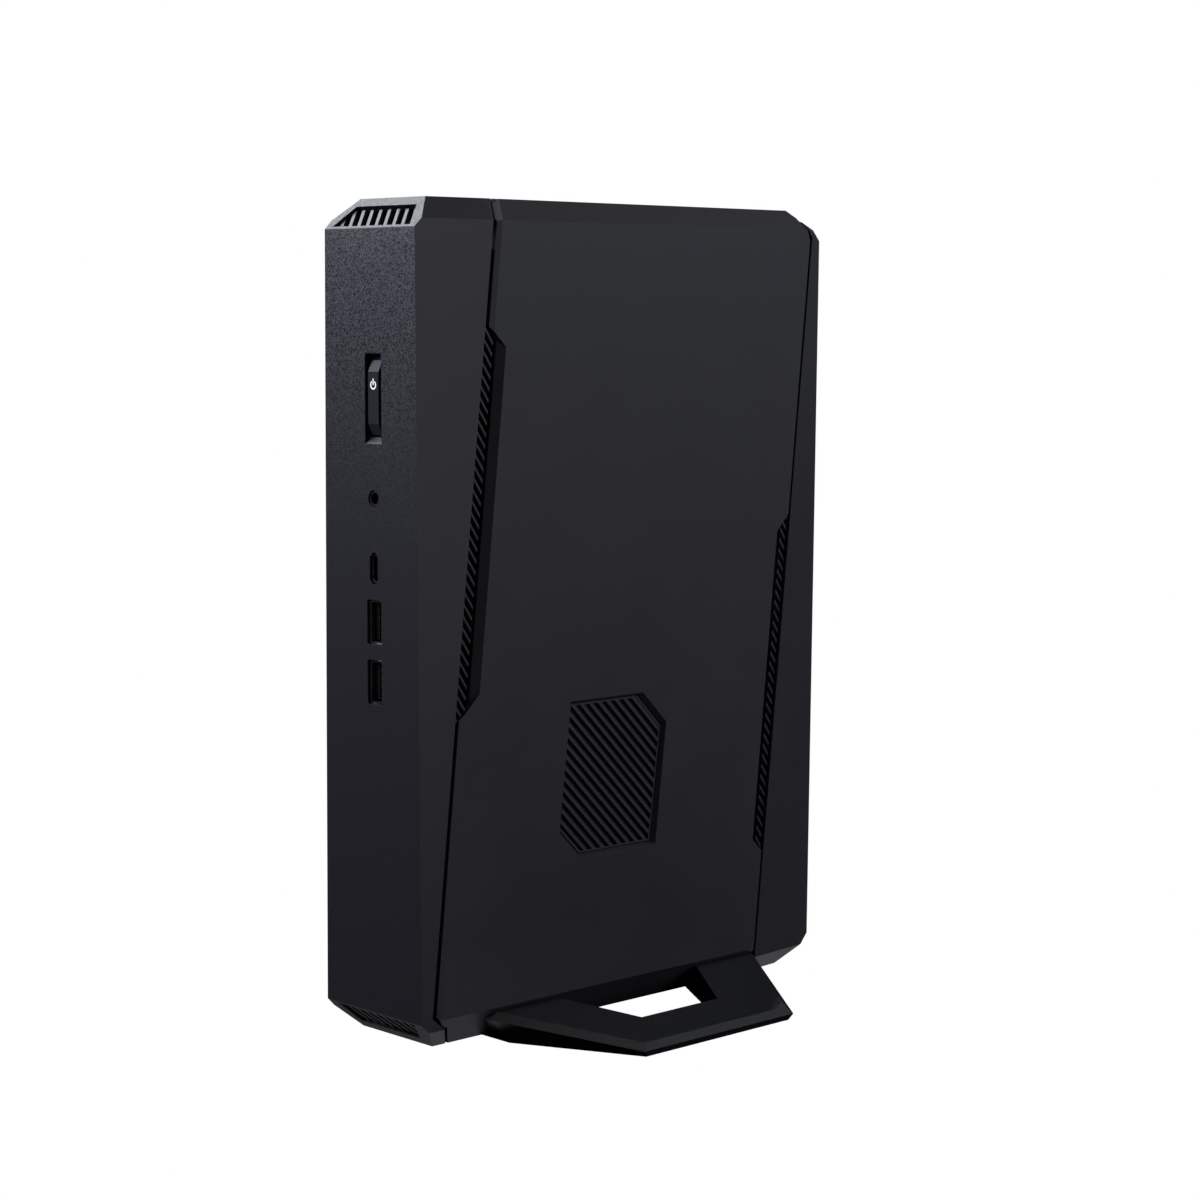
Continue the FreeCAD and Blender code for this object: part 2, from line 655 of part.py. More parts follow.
def end_zone(which, grow, tag):
    """All that one end casing may fill: its side of the seam, the foot and the bands."""
    reach = seam_zone(f"{which}_{tag}_side", which, f"-({FAR})", grow)
    mid = f"{which}_seam" if which == "front" else "(body_depth - rear_seam)"
    rise = "(body_height / 2 - side_chamfer) * tan(seam_lean)"
    low = ("-wall", "side_chamfer")
    high = ("body_height - side_chamfer", "body_height + wall")
    foot, band = (f"{which}_{place}_mitre" for place in ("foot", "band"))
    parts = [
        reach,
        seam_foot(which, grow),
        band_zone(f"{which}_{tag}_low", which, low, f"{which}_foot_reach", foot, grow),
        prism(
            f"{which}_{tag}_toe", "XY", "-wall", f"{which}_foot_turn",
            [rect(
                (f"-{SPLIT}", SPLIT),
                ("-wall", f"{which}_foot_reach + {foot} + {grow}"),
            )],
            place=end_frame(which),
        ),
        band_zone(f"{which}_{tag}_high", which, high, f"{mid} + {rise}", band, grow),
    ]
    return fuse(f"{which}_{tag}_zone", parts)


front_zone = end_zone("front", f"-{HALF_GAP}", "inner")
rear_zone = end_zone("rear", f"-{HALF_GAP}", "inner")
outer_ends = fuse("outer_ends", [end_zone("front", HALF_GAP, "outer"), end_zone("rear", HALF_GAP, "outer")])

hem = prism(
    "right_hem", "XZ", f"-({FAR})", FAR,
    [[(SPLIT, BASE), (f"{HALF} + wall", BASE), (f"{HALF} + wall", f"{BASE} + hem_tall * 1.4"),
      (HALF, f"{BASE} + hem_tall")]],
)
hems = fuse("hems", [hem, mirrored("left_hem", hem)])
middle_shell = cut("middle_shell", cut("middle_blank", shell, outer_ends), hems)

TALL = ("-tool_reach", f"{TOP} + tool_reach")
right_zone = block("right_zone", (SPLIT, "tool_reach"), LONG, TALL)
cover_wide = (f"hairline - {SPLIT}", f"{SPLIT} - hairline")
top_zone = block("top_zone", cover_wide, LONG, (MID_Z, f"{TOP} + tool_reach"))
bottom_zone = block("bottom_zone", cover_wide, LONG, ("-tool_reach", MID_Z))


def chamfer_frame(level, sign):
    """The frame of a sloping end face: X across, Y up the slope, Z outwards."""
    turn = Rotation(Vector(1, 0, 0), 90 - sign * 45)
    if sign < 0:
        turn = Rotation(Vector(1, 0, 0), 135) * Rotation(Vector(0, 0, 1), 180)
    return Placement(Vector(0, value(FRONT), value(level)), turn)


END_FACES = {
    "top": chamfer_frame(f"{TOP} - end_chamfer", 1),
    "bottom": chamfer_frame(f"{BASE} + end_chamfer", -1),
}


def end_vent_outline(grow_low, grow_high, grow_side):
    low = f"end_vent_low - ({grow_low})"
    high = f"end_vent_high + {grow_high}"
    half_low = f"(end_vent_half_low + {grow_side})"
    half_high = f"(end_vent_half_high + {grow_side})"
    return [(f"-{half_low}", low), (half_low, low), (half_high, high), (f"-{half_high}", high)]


def make_end_vent(which):
    """The slotted insert in one sloping end face, and the hole that it fills."""
    place = END_FACES[which]
    hole = prism(
        f"{which}_vent_hole", "XY", "-tool_reach / 10", "tool_reach / 10",
        [end_vent_outline("0", "0", "0")], place=place,
    )
    insert = prism(
        f"{which}_vent_plate", "XY", "-(end_vent_sunk + end_vent_thick)", "-end_vent_sunk",
        [end_vent_outline("-hairline / 10", "-end_vent_tip", "-hairline / 10")], place=place,
    )
    side_slots = 7
    across = f"cos({which}_vent_turn)"
    pitch = f"(end_vent_pitch * {across})"
    comb = prism(
        f"{which}_vent_comb", "XY", "-end_vent_thick * 2", "end_vent_thick",
        [rect(span(f"-{side_slots} * {pitch}", f"end_vent_slot * {across}"), LONG)],
    )
    spine_far = "2 * tool_reach"
    tooth = comb.Tip
    repeat(comb, tooth, "X_Axis", pitch, 2 * side_slots + 1)
    spine = (f"{spine_far} - seam_gap", f"{spine_far} + seam_gap")
    pad(comb, "XY", "-end_vent_thick * 2", "end_vent_thick", [rect(LONG, spine)])
    comb.Tip = comb.Group[-1]
    lean = Placement(Vector(0, 0, 0), Rotation(Vector(0, 0, 1), value(f"{which}_vent_turn")))
    comb.Placement = place * lean
    core = prism(
        f"{which}_vent_core", "XY", "-end_vent_thick * 2", "end_vent_thick",
        [end_vent_outline("-end_vent_rim", "seam_gap", "seam_gap")], place=place,
    )
    slots = common(f"{which}_vent_slots", comb, core)
    keep(f"{which}_front_vent", cut(f"{which}_front_vent", insert, slots))
    return hole


end_vent_holes = [make_end_vent(which) for which in ("top", "bottom")]


def slot_tool(label, z, tall, wide, corner):
    """A tall slot right through the port side, with cut corners."""
    outline = octagon(span("column_x", wide), span(f"{BASE} + {z}", tall), corner)
    return prism(label, "XZ", f"{FRONT} - wall", f"{FRONT} + 2 * wall", [outline])


SLOT_Z = f"({BASE} + button_z)"


def make_front_bezel():
    front_shell = common("front_shell", shell, front_zone)
    button_low, button_high = span(SLOT_Z, "button_slot_tall")
    ramp = prism(
        "button_sill", "YZ", *span("column_x", "button_slot_wide"),
        [[
            (f"{FRONT} - seam_gap", f"{button_low} - button_slot_ramp - seam_gap"),
            (f"{FRONT} + button_slot_ramp", button_low),
            (f"{FRONT} - seam_gap", f"{button_low} + seam_gap"),
        ]],
    )
    tools = [
        *end_vent_holes,
        slot_tool("button_slot", "button_z", "button_slot_tall", "button_slot_wide", "hairline"),
        ramp,
        rod(
            "jack_hole_tool", "Y", ("column_x", f"{BASE} + jack_z"),
            f"{FRONT} - wall", f"{FRONT} + 2 * wall", "jack_hole",
        ),
        slot_tool("usb_c_slot", "usb_c_z", "usb_c_hole_tall", "usb_c_hole_wide", "1.4"),
        slot_tool("usb_a_upper_slot", "usb_a_upper_z", "usb_a_hole_tall", "usb_a_hole_wide", "0.5"),
        slot_tool("usb_a_lower_slot", "usb_a_lower_z", "usb_a_hole_tall", "usb_a_hole_wide", "0.5"),
    ]
    return keep("front_bezel", cut("front_bezel", front_shell, fuse("bezel_tools", tools)))


make_front_bezel()


def band_bevel():
    """The cut that carries the panel's front bevel across the top edge band."""
    level = f"({TOP} - side_chamfer)"
    start = Vector(
        value(HALF),
        value(
            f"{FRONT} + front_seam + ({level} - {MID_Z}) * tan(seam_lean)"
            f" + {HALF_GAP} + panel_gap + panel_bevel_wide"
        ),
        value(level),
    )
    seam = Vector(-value("side_chamfer"), value("front_band_mitre"), value("side_chamfer"))
    band = Vector(1, 0, 1).normalize()
    wall = band.cross(seam).normalize()
    tilt = math.atan2(value("panel_bevel_deep"), value("panel_bevel_wide"))
    outwards = band * math.cos(tilt) + wall * math.sin(tilt)
    place = Placement(start, Rotation(Vector(0, 0, 1), outwards))
    return prism("panel_band_bevel", "XY", "0", "tool_reach", [rect(LONG, LONG)], place=place)


def make_right_panel():
    panel = common("panel_blank", middle_shell, right_zone)
    edge = f"({HALF_GAP} + panel_gap)"
    foot = f"({BASE} + front_foot_turn - {MID_Z}) / cos(seam_lean)"
    bevel = prism(
        "panel_bevel", "XY", foot, FAR,
        [[
            ("0", "-seam_gap"),
            ("0", edge),
            (f"{HALF} - panel_bevel_deep", edge),
            (f"{HALF} + panel_bevel_deep", f"{edge} + 2 * panel_bevel_wide"),
            (f"{HALF} + panel_bevel_deep", "-seam_gap"),
        ]],
        place=SEAMS["front"],
    )
    tools = [bevel, band_bevel()]
    for which, place in SEAMS.items():
        vent = lofted(
            f"{which}_vent_notch", "YZ",
            [
                (HALF, vent_outline(which, f"{which}_vent_wide")),
                (INSIDE, vent_outline(which, f"{which}_vent_floor")),
            ],
            place=place,
        )
        tools.append(vent)
    window = lofted(
        "panel_window", "YZ",
        [(HALF, window_outline("0")), (INSIDE, window_outline("-window_bevel"))],
    )
    tools.append(window)
    return keep("right_side_panel", cut("right_side_panel", panel, fuse("panel_tools", tools)))


right_panel = make_right_panel()
keep("left_side_panel", mirrored("left_side_panel", right_panel))


def slat_outline(which, wide):
    """The raised slats' outline: as the vent's, clear of its sloping ends."""
    rise = "tan(vent_end_angle - seam_lean)"
    fall = "tan(vent_end_angle + seam_lean)"
    reach = f"{which}_vent_wide"
    low, high = f"{which}_vent_low + louvre_margin", f"{which}_vent_high - louvre_margin"
    return [
        ("0", f"{low} - {reach} * {fall}"),
        (wide, f"{low} - ({reach} - {wide}) * {fall}"),
        (wide, f"{high} + ({reach} - {wide}) * {rise}"),
        ("0", f"{high} + {reach} * {rise}"),
    ]


def make_louvre(which):
    """The slatted strip behind a seam: its back plate, raised slats and slots."""
    plate_x = (f"{HALF} - louvre_back", f"{INSIDE} - hairline")
    long = ("louvre_low", "louvre_high")
    strip = prism(
        f"right_{which}_louvre", "YZ", *plate_x, [rect(("-louvre_hem", "louvre_tail"), long)]
    )
    wide = f"{which}_louvre_wide"
    low, high = f"{which}_vent_low - 3 * louvre_pitch", f"{which}_vent_high + 2 * louvre_pitch"
    slats = slat_outline(which, wide)
    pad(strip, "YZ", plate_x[1], f"{HALF} - louvre_sunk", [slats])
    gap = rect((wide, f"{which}_vent_floor + hairline"), (low, high))
    pocket(strip, "YZ", *plate_x, [gap])
    drop = f"({wide} + hairline) * tan(louvre_angle)"
    slot = [
        ("-hairline", low),
        (wide, f"{low} - {drop}"),
        (wide, f"{low} - {drop} + louvre_slot"),
        ("-hairline", f"{low} + louvre_slot"),
    ]
    cutter = pocket(strip, "YZ", plate_x[0], f"{HALF} - louvre_sunk", [slot])
    count = int((value(high) - value(low)) / value("louvre_pitch")) + 2
    repeat(strip, cutter, "Z_Axis", "louvre_pitch", count)
    strip.Placement = SEAMS[which]
    return strip


for which in SEAMS:
    louvre = keep(f"right_{which}_louvre", make_louvre(which))
    keep(f"left_{which}_louvre", mirrored(f"left_{which}_louvre", louvre))


def make_grille():
    """The slatted insert in the intake window, with the filter behind it."""
    flange_x = (f"{INSIDE} - grille_thick", INSIDE)
    flange = prism("grille_flange_plate", "YZ", *flange_x, [window_outline("grille_flange")])
    fit = "-(window_bevel + hairline / 3)"
    core = prism(
        "grille_core", "YZ", f"{INSIDE} - grille_thick", f"{HALF} - grille_sunk", [window_outline(fit)]
    )
    plate = fuse("grille_plate", [flange, core])
    depth = (f"{INSIDE} - 2 * grille_thick", f"{HALF} + grille_thick")
    count = 26
    first = f"-{count - 1} / 2 * grille_pitch"
    comb = prism(
        "grille_comb", "YZ", *depth,
        [rect(("-tool_reach", "tool_reach"), span(first, "grille_slot"))],
    )
    repeat(comb, comb.Tip, "Z_Axis", "grille_pitch", count)
    spine = ("tool_reach - seam_gap", "tool_reach + seam_gap")
    pad(comb, "YZ", *depth, [rect(spine, ("-tool_reach", "tool_reach"))])
    comb.Tip = comb.Group[-1]
    centre = Vector(0, value(f"{FRONT} + fan_y"), value(f"{BASE} + fan_z"))
    comb.Placement = Placement(centre, Rotation(Vector(1, 0, 0), -value("grille_angle")))
    opening = prism("grille_opening", "YZ", *depth, [window_outline(f"{fit} - grille_rim")])
    slots = common("grille_slots", comb, opening)
    grille = cut("right_intake_grille", plate, slots)
    filter_x = (f"{INSIDE} - grille_thick - filter_thick", f"{INSIDE} - grille_thick")
    mesh = prism("right_dust_filter", "YZ", *filter_x, [window_outline("grille_flange / 2")])
    return grille, mesh


grille, mesh = make_grille()
keep("right_intake_grille", grille)
keep("left_intake_grille", mirrored("left_intake_grille", grille))
keep("right_dust_filter", mesh)
keep("left_dust_filter", mirrored("left_dust_filter", mesh))
keep("top_cover", common("top_cover", middle_shell, top_zone))


def make_bottom_cover():
    cover = common("bottom_blank", middle_shell, bottom_zone)
    bosses = [
        rod(
            f"stand_boss_{side}", "Z", ("0", f"{sign}stand_screw_pitch / 2"),
            f"{BASE} + wall / 2", f"{BASE} + 4 * wall", "stand_boss",
        )
        for side, sign in (("near", "-"), ("far", ""))
    ]
    holes = [
        rod(
            f"stand_hole_{side}", "Z", ("0", f"{sign}stand_screw_pitch / 2"),
            f"{BASE} - wall", f"{BASE} + 3.5 * wall", "stand_screw",
        )
        for side, sign in (("near", "-"), ("far", ""))
    ]
    solid = fuse("bottom_with_bosses", [cover, *bosses])
    return cut("bottom_cover", solid, fuse("stand_holes", holes))


keep("bottom_cover", make_bottom_cover())


# ---- rear ---------------------------------------------------------------------------

IO_X = ("io_left", "io_right")
IO_Z = (f"{BASE} + io_low", f"{BASE} + io_high")
REAR_WALL = (f"{REAR} - 2 * wall", f"{REAR} + wall")

# socket: (left, right) and (low, high) of its hole in the rear port plate
REAR_SOCKETS = {
    "dc_jack": (("-5.6", "4.4"), ("222", "233")),
    "ethernet_jack": (("-9.0", "4.6"), ("198", "214.2")),
    "hdmi_port": (("-1.2", "4.4"), ("168", "183")),
    "rear_usb_a_upper": (("-1.1", "4.6"), ("136.4", "149.5")),
    "rear_usb_a_lower": (("-1.1", "4.6"), ("120.6", "133.7")),
}
SCREW_SPOTS = [
    ("-15", "18"),
    ("15", "18"),
    ("-15", "body_height - 14"),
    ("15", "body_height - 14"),
]


def make_rear_shell():
    blank = common("rear_blank", shell, rear_zone)
    port_hole = block("port_hole", IO_X, REAR_WALL, IO_Z)
    exhaust = prism(
        "exhaust_comb", "XZ", *REAR_WALL,
        [rect((f"-{INSIDE} + wall", f"{INSIDE} - wall"), (f"{BASE} + fin_low", f"{BASE} + fin_low + 2.6"))],
    )
    repeat(exhaust, exhaust.Tip, "Z_Axis", "4.4", 13)
    spine = rect(("-1.2", "1.2"), (f"{BASE} + fin_low - 1", f"{BASE} + fin_high + 1"))
    holes = []
    for index, (x, z) in enumerate(SCREW_SPOTS):
        centre = (x, f"{BASE} + {z}")
        holes.append(rod(f"case_hole_{index}", "Y", centre, *REAR_WALL, "rear_screw"))
        sink = (f"{REAR} - rear_screw_sunk", f"{REAR} + wall", "rear_screw_head + hairline")
        holes.append(rod(f"case_sink_{index}", "Y", centre, *sink))
    rib = prism("exhaust_rib", "XZ", f"{REAR} - wall", REAR, [spine])
    opened = cut("rear_opened", blank, fuse("rear_tools", [port_hole, *holes]))
    vented = cut("rear_vented", opened, exhaust)
    return fuse("rear_shell", [vented, rib])


keep("rear_shell", make_rear_shell())


def make_port_plate():
    low, high = f"{REAR} - io_sunk - io_sheet", f"{REAR} - io_sunk"
    plate = prism(
        "port_plate_blank", "XZ", low, high,
        [rect((f"{IO_X[0]} + 0.2", f"{IO_X[1]} - 0.2"), (f"{IO_Z[0]} + 0.2", f"{IO_Z[1]} - 0.2"))],
    )
    holes = [
        block(f"{name}_hole", (f"{x[0]} - 0.2", f"{x[1]} + 0.2"), (f"{low} - 1", f"{high} + 1"),
              (f"{BASE} + {z[0]} - 0.2", f"{BASE} + {z[1]} + 0.2"))
        for name, (x, z) in REAR_SOCKETS.items()
    ]
    return cut("rear_port_plate", plate, fuse("port_plate_holes", holes))


keep("rear_port_plate", make_port_plate())


def make_rear_socket(name, deep, rim):
    """A socket on the motherboard: a shell open to the rear."""
    (left, right), (low, high) = REAR_SOCKETS[name]
    back = f"{REAR} - io_sunk + 0.4"
    body = block(f"{name}_body", (left, right), (f"{back} - {deep}", back),
                 (f"{BASE} + {low}", f"{BASE} + {high}"))
    mouth = block(
        f"{name}_mouth", (f"{left} + {rim}", f"{right} - {rim}"), (f"{back} - {deep} + 1.5", f"{back} + 1"),
        (f"{BASE} + {low} + {rim}", f"{BASE} + {high} - {rim}"),
    )
    return cut(f"{name}_shell", body, mouth)


def make_display_socket(name, tongue_x):
    shell_part = make_rear_socket(name, "11.6", "0.5")
    (left, right), (low, high) = REAR_SOCKETS[name]
    back = f"{REAR} - io_sunk"
    tongue = block(
        f"{name}_tongue", tongue_x, (f"{back} - 10.6", f"{back} - 1.5"),
        (f"{BASE} + {low} + 1.6", f"{BASE} + {high} - 1.6"),
    )
    return fuse(name, [shell_part, tongue])


keep("ethernet_jack", make_rear_socket("ethernet_jack", "21", "1.6"))
keep("hdmi_port", make_display_socket("hdmi_port", ("1.0", "2.2")))
for name in ("rear_usb_a_upper", "rear_usb_a_lower"):
    keep(name, make_display_socket(name, ("-0.3", "1.54")))


def make_dc_jack():
    (left, right), (low, high) = REAR_SOCKETS["dc_jack"]
    back = f"{REAR} - io_sunk + 0.4"
    centre = (f"({left} + {right}) / 2", f"{BASE} + ({low} + {high}) / 2")
    tall = (f"{BASE} + {low}", f"{BASE} + {high}")
    body = block("dc_jack_body", (left, right), (f"{back} - dc_jack_deep", back), tall)
    floor = f"{back} - dc_jack_deep + wall"
    bore = rod("dc_jack_bore", "Y", centre, floor, f"{back} + 1", "dc_jack_bore")
    pin = rod("dc_jack_pin", "Y", centre, f"{floor} - 1", f"{back} - 1", "dc_jack_pin")
    return fuse("dc_jack", [cut("dc_jack_case", body, bore), pin])


keep("dc_jack", make_dc_jack())


def make_case_screws():
    screws = []
    for index, (x, z) in enumerate(SCREW_SPOTS):
        centre = (x, f"{BASE} + {z}")
        seat = f"{REAR} - rear_screw_sunk"
        head = rod(f"case_head_{index}", "Y", centre, seat, f"{REAR} - 0.2", "rear_screw_head")
        shank = rod(f"case_shank_{index}", "Y", centre, f"{REAR} - 3 * wall", seat, "rear_screw")
        socket_hole = prism(
            f"case_socket_{index}", "XZ", f"{REAR} - 0.9", REAR,
            [octagon(span(x, "2.4"), span(f"{BASE} + {z}", "2.4"), "0.7")],
        )
        screws.append(cut(f"case_screw_{index}", fuse(f"case_blank_{index}", [head, shank]), socket_hole))
    return group("case_screws", screws)


keep("case_screws", make_case_screws())


# ---- port side ----------------------------------------------------------------------

BUTTON_Z = f"({SLOT_Z} - button_drop)"
FACE = f"({FRONT} + button_sunk)"
FLANGE = (f"{FRONT} + wall + clearance", f"{FRONT} + wall + clearance + button_flange")
SWITCH_FRONT = f"{FRONT} + front_board_near + 5.6"


def make_power_button():
    low, high = span(BUTTON_Z, "button_tall")
    across = span("column_x", "button_wide")
    ramp_end = f"{FACE} + button_ramp_deep"
    body = prism(
        "power_button", "YZ", *across,
        [[
            (FLANGE[0], low),
            (FLANGE[0], high),
            (ramp_end, high),
            (FACE, f"{high} - button_ramp"),
            (FACE, f"{low} + button_ramp"),
            (ramp_end, low),
        ]],
    )
    flange = rect(
        span("column_x", "button_slot_wide + 2 * button_lip"),
        span(SLOT_Z, "button_slot_tall + 2 * button_lip"),
    )
    pad(body, "XZ", *FLANGE, [flange])
    pad(body, "XZ", FLANGE[1], SWITCH_FRONT, [rect(span("column_x", "3"), span(BUTTON_Z, "5"))])
    return body


def make_icon_lens():
    """The light guide: a ring that is open at the top, a bar in the opening, one root."""
    icon = ("column_x", f"{BUTTON_Z} + icon_z")
    seat = (f"{FACE} - icon_proud", f"{FACE} + icon_deep")
    disc = rod("icon_disc", "Y", icon, *seat, "2 * icon_radius")
    middle = rod("icon_middle", "Y", icon, *seat, "2 * (icon_radius - icon_line)")
    above = (icon[1], f"{icon[1]} + 2 * icon_radius")
    opening = block("icon_gap", span("column_x", "icon_opening"), seat, above)
    ring = cut("icon_ring", disc, fuse("icon_hole", [middle, opening]))
    stroke = (icon[1], f"{icon[1]} + icon_bar")
    bar = block("icon_bar_piece", span("column_x", "icon_line"), seat, stroke)
    root = rod("icon_root", "Y", icon, seat[1], f"{seat[1]} + icon_line", "2 * icon_bar")
    return fuse("power_icon_lens", [ring, bar, root])


lens = make_icon_lens()
keep("power_button", cut("power_button_pierced", make_power_button(), lens))
keep("power_icon_lens", lens)


def make_power_switch():
    """A side-acting switch: its case is bored for the plunger."""
    back = f"{SWITCH_FRONT} + 5.2"
    front = f"{SWITCH_FRONT} + 1.7"
    case = block(
        "power_switch_case", ("column_x - 2.2", "board_face"), (front, back), span(BUTTON_Z, "6")
    )
    bore = rod("power_switch_bore", "Y", ("column_x", BUTTON_Z), f"{front} - 1", f"{back} - 0.6", "2.5")
    plunger = rod(
        "switch_plunger", "Y", ("column_x", BUTTON_Z), SWITCH_FRONT, f"{back} - 2.4", "2.4"
    )
    return cut("power_switch", case, bore), plunger


switch, plunger = make_power_switch()
keep("power_switch", switch)
keep("switch_plunger", plunger)


def make_board(label, y, z, hole_spots):
    circles = [(f"{FRONT} + {spot_y}", f"{BASE} + {spot_z}", "board_hole") for spot_y, spot_z in hole_spots]
    outline = rect((f"{FRONT} + {y[0]}", f"{FRONT} + {y[1]}"), (f"{BASE} + {z[0]}", f"{BASE} + {z[1]}"))
    return prism(label, "YZ", "board_face", "board_face + board_thick", [outline], circles)


BOARD_Y = ("board_near + screw_inset", "board_far - screw_inset")
BOARD_Z = ("board_low + screw_inset", "(board_low + board_high) / 2", "board_high - screw_inset")
BOARD_SPOTS = [(y, z) for y in BOARD_Y for z in BOARD_Z]
FRONT_SPOTS = [("(front_board_near + front_board_far) / 2 + 4", z)
               for z in ("front_board_low + 4", "front_board_high - 4")]
keep("front_io_board", make_board(
    "front_io_board", ("front_board_near", "front_board_far"),
    ("front_board_low", "front_board_high"), FRONT_SPOTS))
keep("motherboard", make_board(
    "motherboard", ("board_near", "board_far"), ("board_low", "board_high"), BOARD_SPOTS))


def make_audio_jack():
    centre = ("column_x", f"{BASE} + jack_z")
    nose = rod("jack_nose_rod", "Y", centre, f"{FRONT} + 0.4", f"{FRONT} + 3.4", "jack_nose")
    case = block(
        "jack_case", ("column_x - 2.9", "board_face"), (f"{FRONT} + 3.4", f"{FRONT} + 16"),
        span(f"{BASE} + jack_z", "6"),
    )
    bore = rod("jack_bore_tool", "Y", centre, f"{FRONT} - 1", f"{FRONT} + 15", "jack_bore")
    return cut("audio_jack", fuse("jack_solid", [nose, case]), bore)


keep("audio_jack", make_audio_jack())


def make_front_socket(name, z, wide, tall, deep, corner):
    """A folded socket shell, open towards the port side."""
    centre = f"{BASE} + {z}"
    near = f"{FRONT} + socket_sunk"
    shell_body = prism(
        f"{name}_shell", "XZ", near, f"{near} + {deep}",
        [octagon(span("column_x", wide), span(centre, tall), corner)],
    )
    hollow = octagon(
        span("column_x", f"{wide} - 2 * shell_sheet"), span(centre, f"{tall} - 2 * shell_sheet"), corner
    )
    pocket(shell_body, "XZ", near, f"{near} + {deep} - shell_sheet", [hollow])
    return shell_body


usb_c_shell = ("usb_c_wide", "usb_c_tall", "usb_c_deep", "usb_c_corner")
keep("front_usb_c_shell", make_front_socket("front_usb_c", "usb_c_z", *usb_c_shell))
usb_c_floor = f"{FRONT} + socket_sunk + usb_c_deep - shell_sheet"
usb_c_tongue = rect(
    span("column_x", "usb_c_tongue_thick"), span(f"{BASE} + usb_c_z", "usb_c_tongue_tall")
)
keep("front_usb_c_tongue", prism(
    "front_usb_c_tongue", "XZ", f"{FRONT} + usb_c_tongue_sunk", usb_c_floor, [usb_c_tongue],
))


def make_usb_a_tongue(name, z):
    """The contact blade of a usb-a socket, with its four contacts."""
    far = f"column_x - usb_a_wide / 2 + usb_a_tongue_offset"
    near = f"{FRONT} + tongue_sunk"
    back = f"{FRONT} + socket_sunk + usb_a_deep - shell_sheet"
    blade = prism(
        f"{name}_tongue", "XZ", near, back,
        [rect((far, f"{far} + usb_a_tongue_thick"), span(f"{BASE} + {z}", "usb_a_tongue_tall"))],
    )
    lane = f"{BASE} + {z} - 1.5 * contact_pitch"
    top = f"{far} + usb_a_tongue_thick"
    contact = pad(
        blade, "XZ", f"{near} + 0.5", f"{back} - 1",
        [rect((f"{top} - 0.1", f"{top} + contact_thick"), span(lane, "contact_wide"))],
    )
    repeat(blade, contact, "Z_Axis", "contact_pitch", 4)
    return blade


for place_name in ("upper", "lower"):
    name = f"front_usb_a_{place_name}"
    z = f"usb_a_{place_name}_z"
    keep(f"{name}_shell", make_front_socket(name, z, "usb_a_wide", "usb_a_tall", "usb_a_deep", "0.4"))
    keep(f"{name}_tongue", make_usb_a_tongue(name, z))


# ---- boards and chassis -------------------------------------------------------------

BOARD_BACK = "board_face + board_thick"


def board_spot(y, z):
    """A point over the board, from the port side and the casing bottom."""
    return f"{FRONT} + {y}", f"{BASE} + {z}"


def board_spans(y, z):
    """Two spans over the board, from the port side and the casing bottom."""
    return (f"{FRONT} + {y[0]}", f"{FRONT} + {y[1]}"), (f"{BASE} + {z[0]}", f"{BASE} + {z[1]}")


def board_box(label, x, y, z):
    """A box placed from the port side and the casing bottom."""
    return block(label, x, *board_spans(y, z))


def make_chassis_plate():
    """A stamped tray behind the board, with its standoffs and top and bottom flanges."""
    low = f"{BOARD_BACK} + standoff_tall"
    plate_x = (low, f"{low} + chassis_sheet")
    y = (f"{FRONT} + board_near", f"{FRONT} + board_far")
    z = (f"{BASE} + board_low - 5", f"{BASE} + board_high + 5")
    rail = "chassis_rail"
    inside = (f"{y[0]} + {rail}", f"{y[1]} - {rail}")
    opening = rect(inside, (f"{z[0]} + 2 * {rail}", f"{MID_Z} - {rail}"))
    upper = rect(inside, (f"{MID_Z} + {rail}", f"{z[1]} - 2 * {rail}"))
    body = prism("chassis_plate", "YZ", *plate_x, [rect(y, z), opening, upper])
    spots = [(*board_spot(*spot), "standoff_wide") for spot in BOARD_SPOTS]
    pad(body, "YZ", BOARD_BACK, low, circles=spots)
    bores = [(*board_spot(*spot), "screw_shank") for spot in BOARD_SPOTS]
    pocket(body, "YZ", BOARD_BACK, plate_x[1], circles=bores)
    for z_low, z_high in ((z[0], f"{z[0]} + chassis_sheet"), (f"{z[1]} - chassis_sheet", z[1])):
        flange = rect((plate_x[1], f"{plate_x[1]} + 7"), (f"{y[0]} + 8", f"{y[1]} - 8"))
        pad(body, "XY", z_low, z_high, [flange])
    body.Tip = body.Group[-1]
    return body


keep("chassis_plate", make_chassis_plate())


def make_board_screws():
    screws = []
    for index, spot in enumerate(BOARD_SPOTS):
        centre = board_spot(*spot)
        head_x = ("board_face - screw_head_tall", "board_face")
        head = rod(f"board_head_{index}", "X", centre, *head_x, "screw_head")
        shank_x = ("board_face", f"{BOARD_BACK} + standoff_tall")
        shank = rod(f"board_shank_{index}", "X", centre, *shank_x, "screw_shank")
        screws.append(fuse(f"board_screw_{index}", [head, shank]))
    return group("board_screws", screws)


keep("board_screws", make_board_screws())

CHIP_X = ("board_face - chip_thick", "board_face")
PLATE_X = (f"{CHIP_X[0]} - cold_plate_thick", CHIP_X[0])
PIPE_X = (f"{PLATE_X[0]} - pipe_thick", PLATE_X[0])
CHIPS = {"cpu_package": (("56", "92"), ("134", "158")), "gpu_package": (("104", "136"), ("130", "162"))}


def make_chip(name):
    """A processor package: its carrier with the die on top."""
    y, z = CHIPS[name]
    outline = board_spans(y, z)
    carrier = prism(name, "YZ", "board_face - carrier_thick", "board_face", [rect(*outline)])
    inset = ("die_inset_y", "die_inset_z")
    die = [(f"{low} + {edge}", f"{high} - {edge}") for (low, high), edge in zip(outline, inset)]
    pad(carrier, "YZ", CHIP_X[0], "board_face - carrier_thick", [rect(*die)])
    return carrier


for name in CHIPS:
    keep(name, make_chip(name))


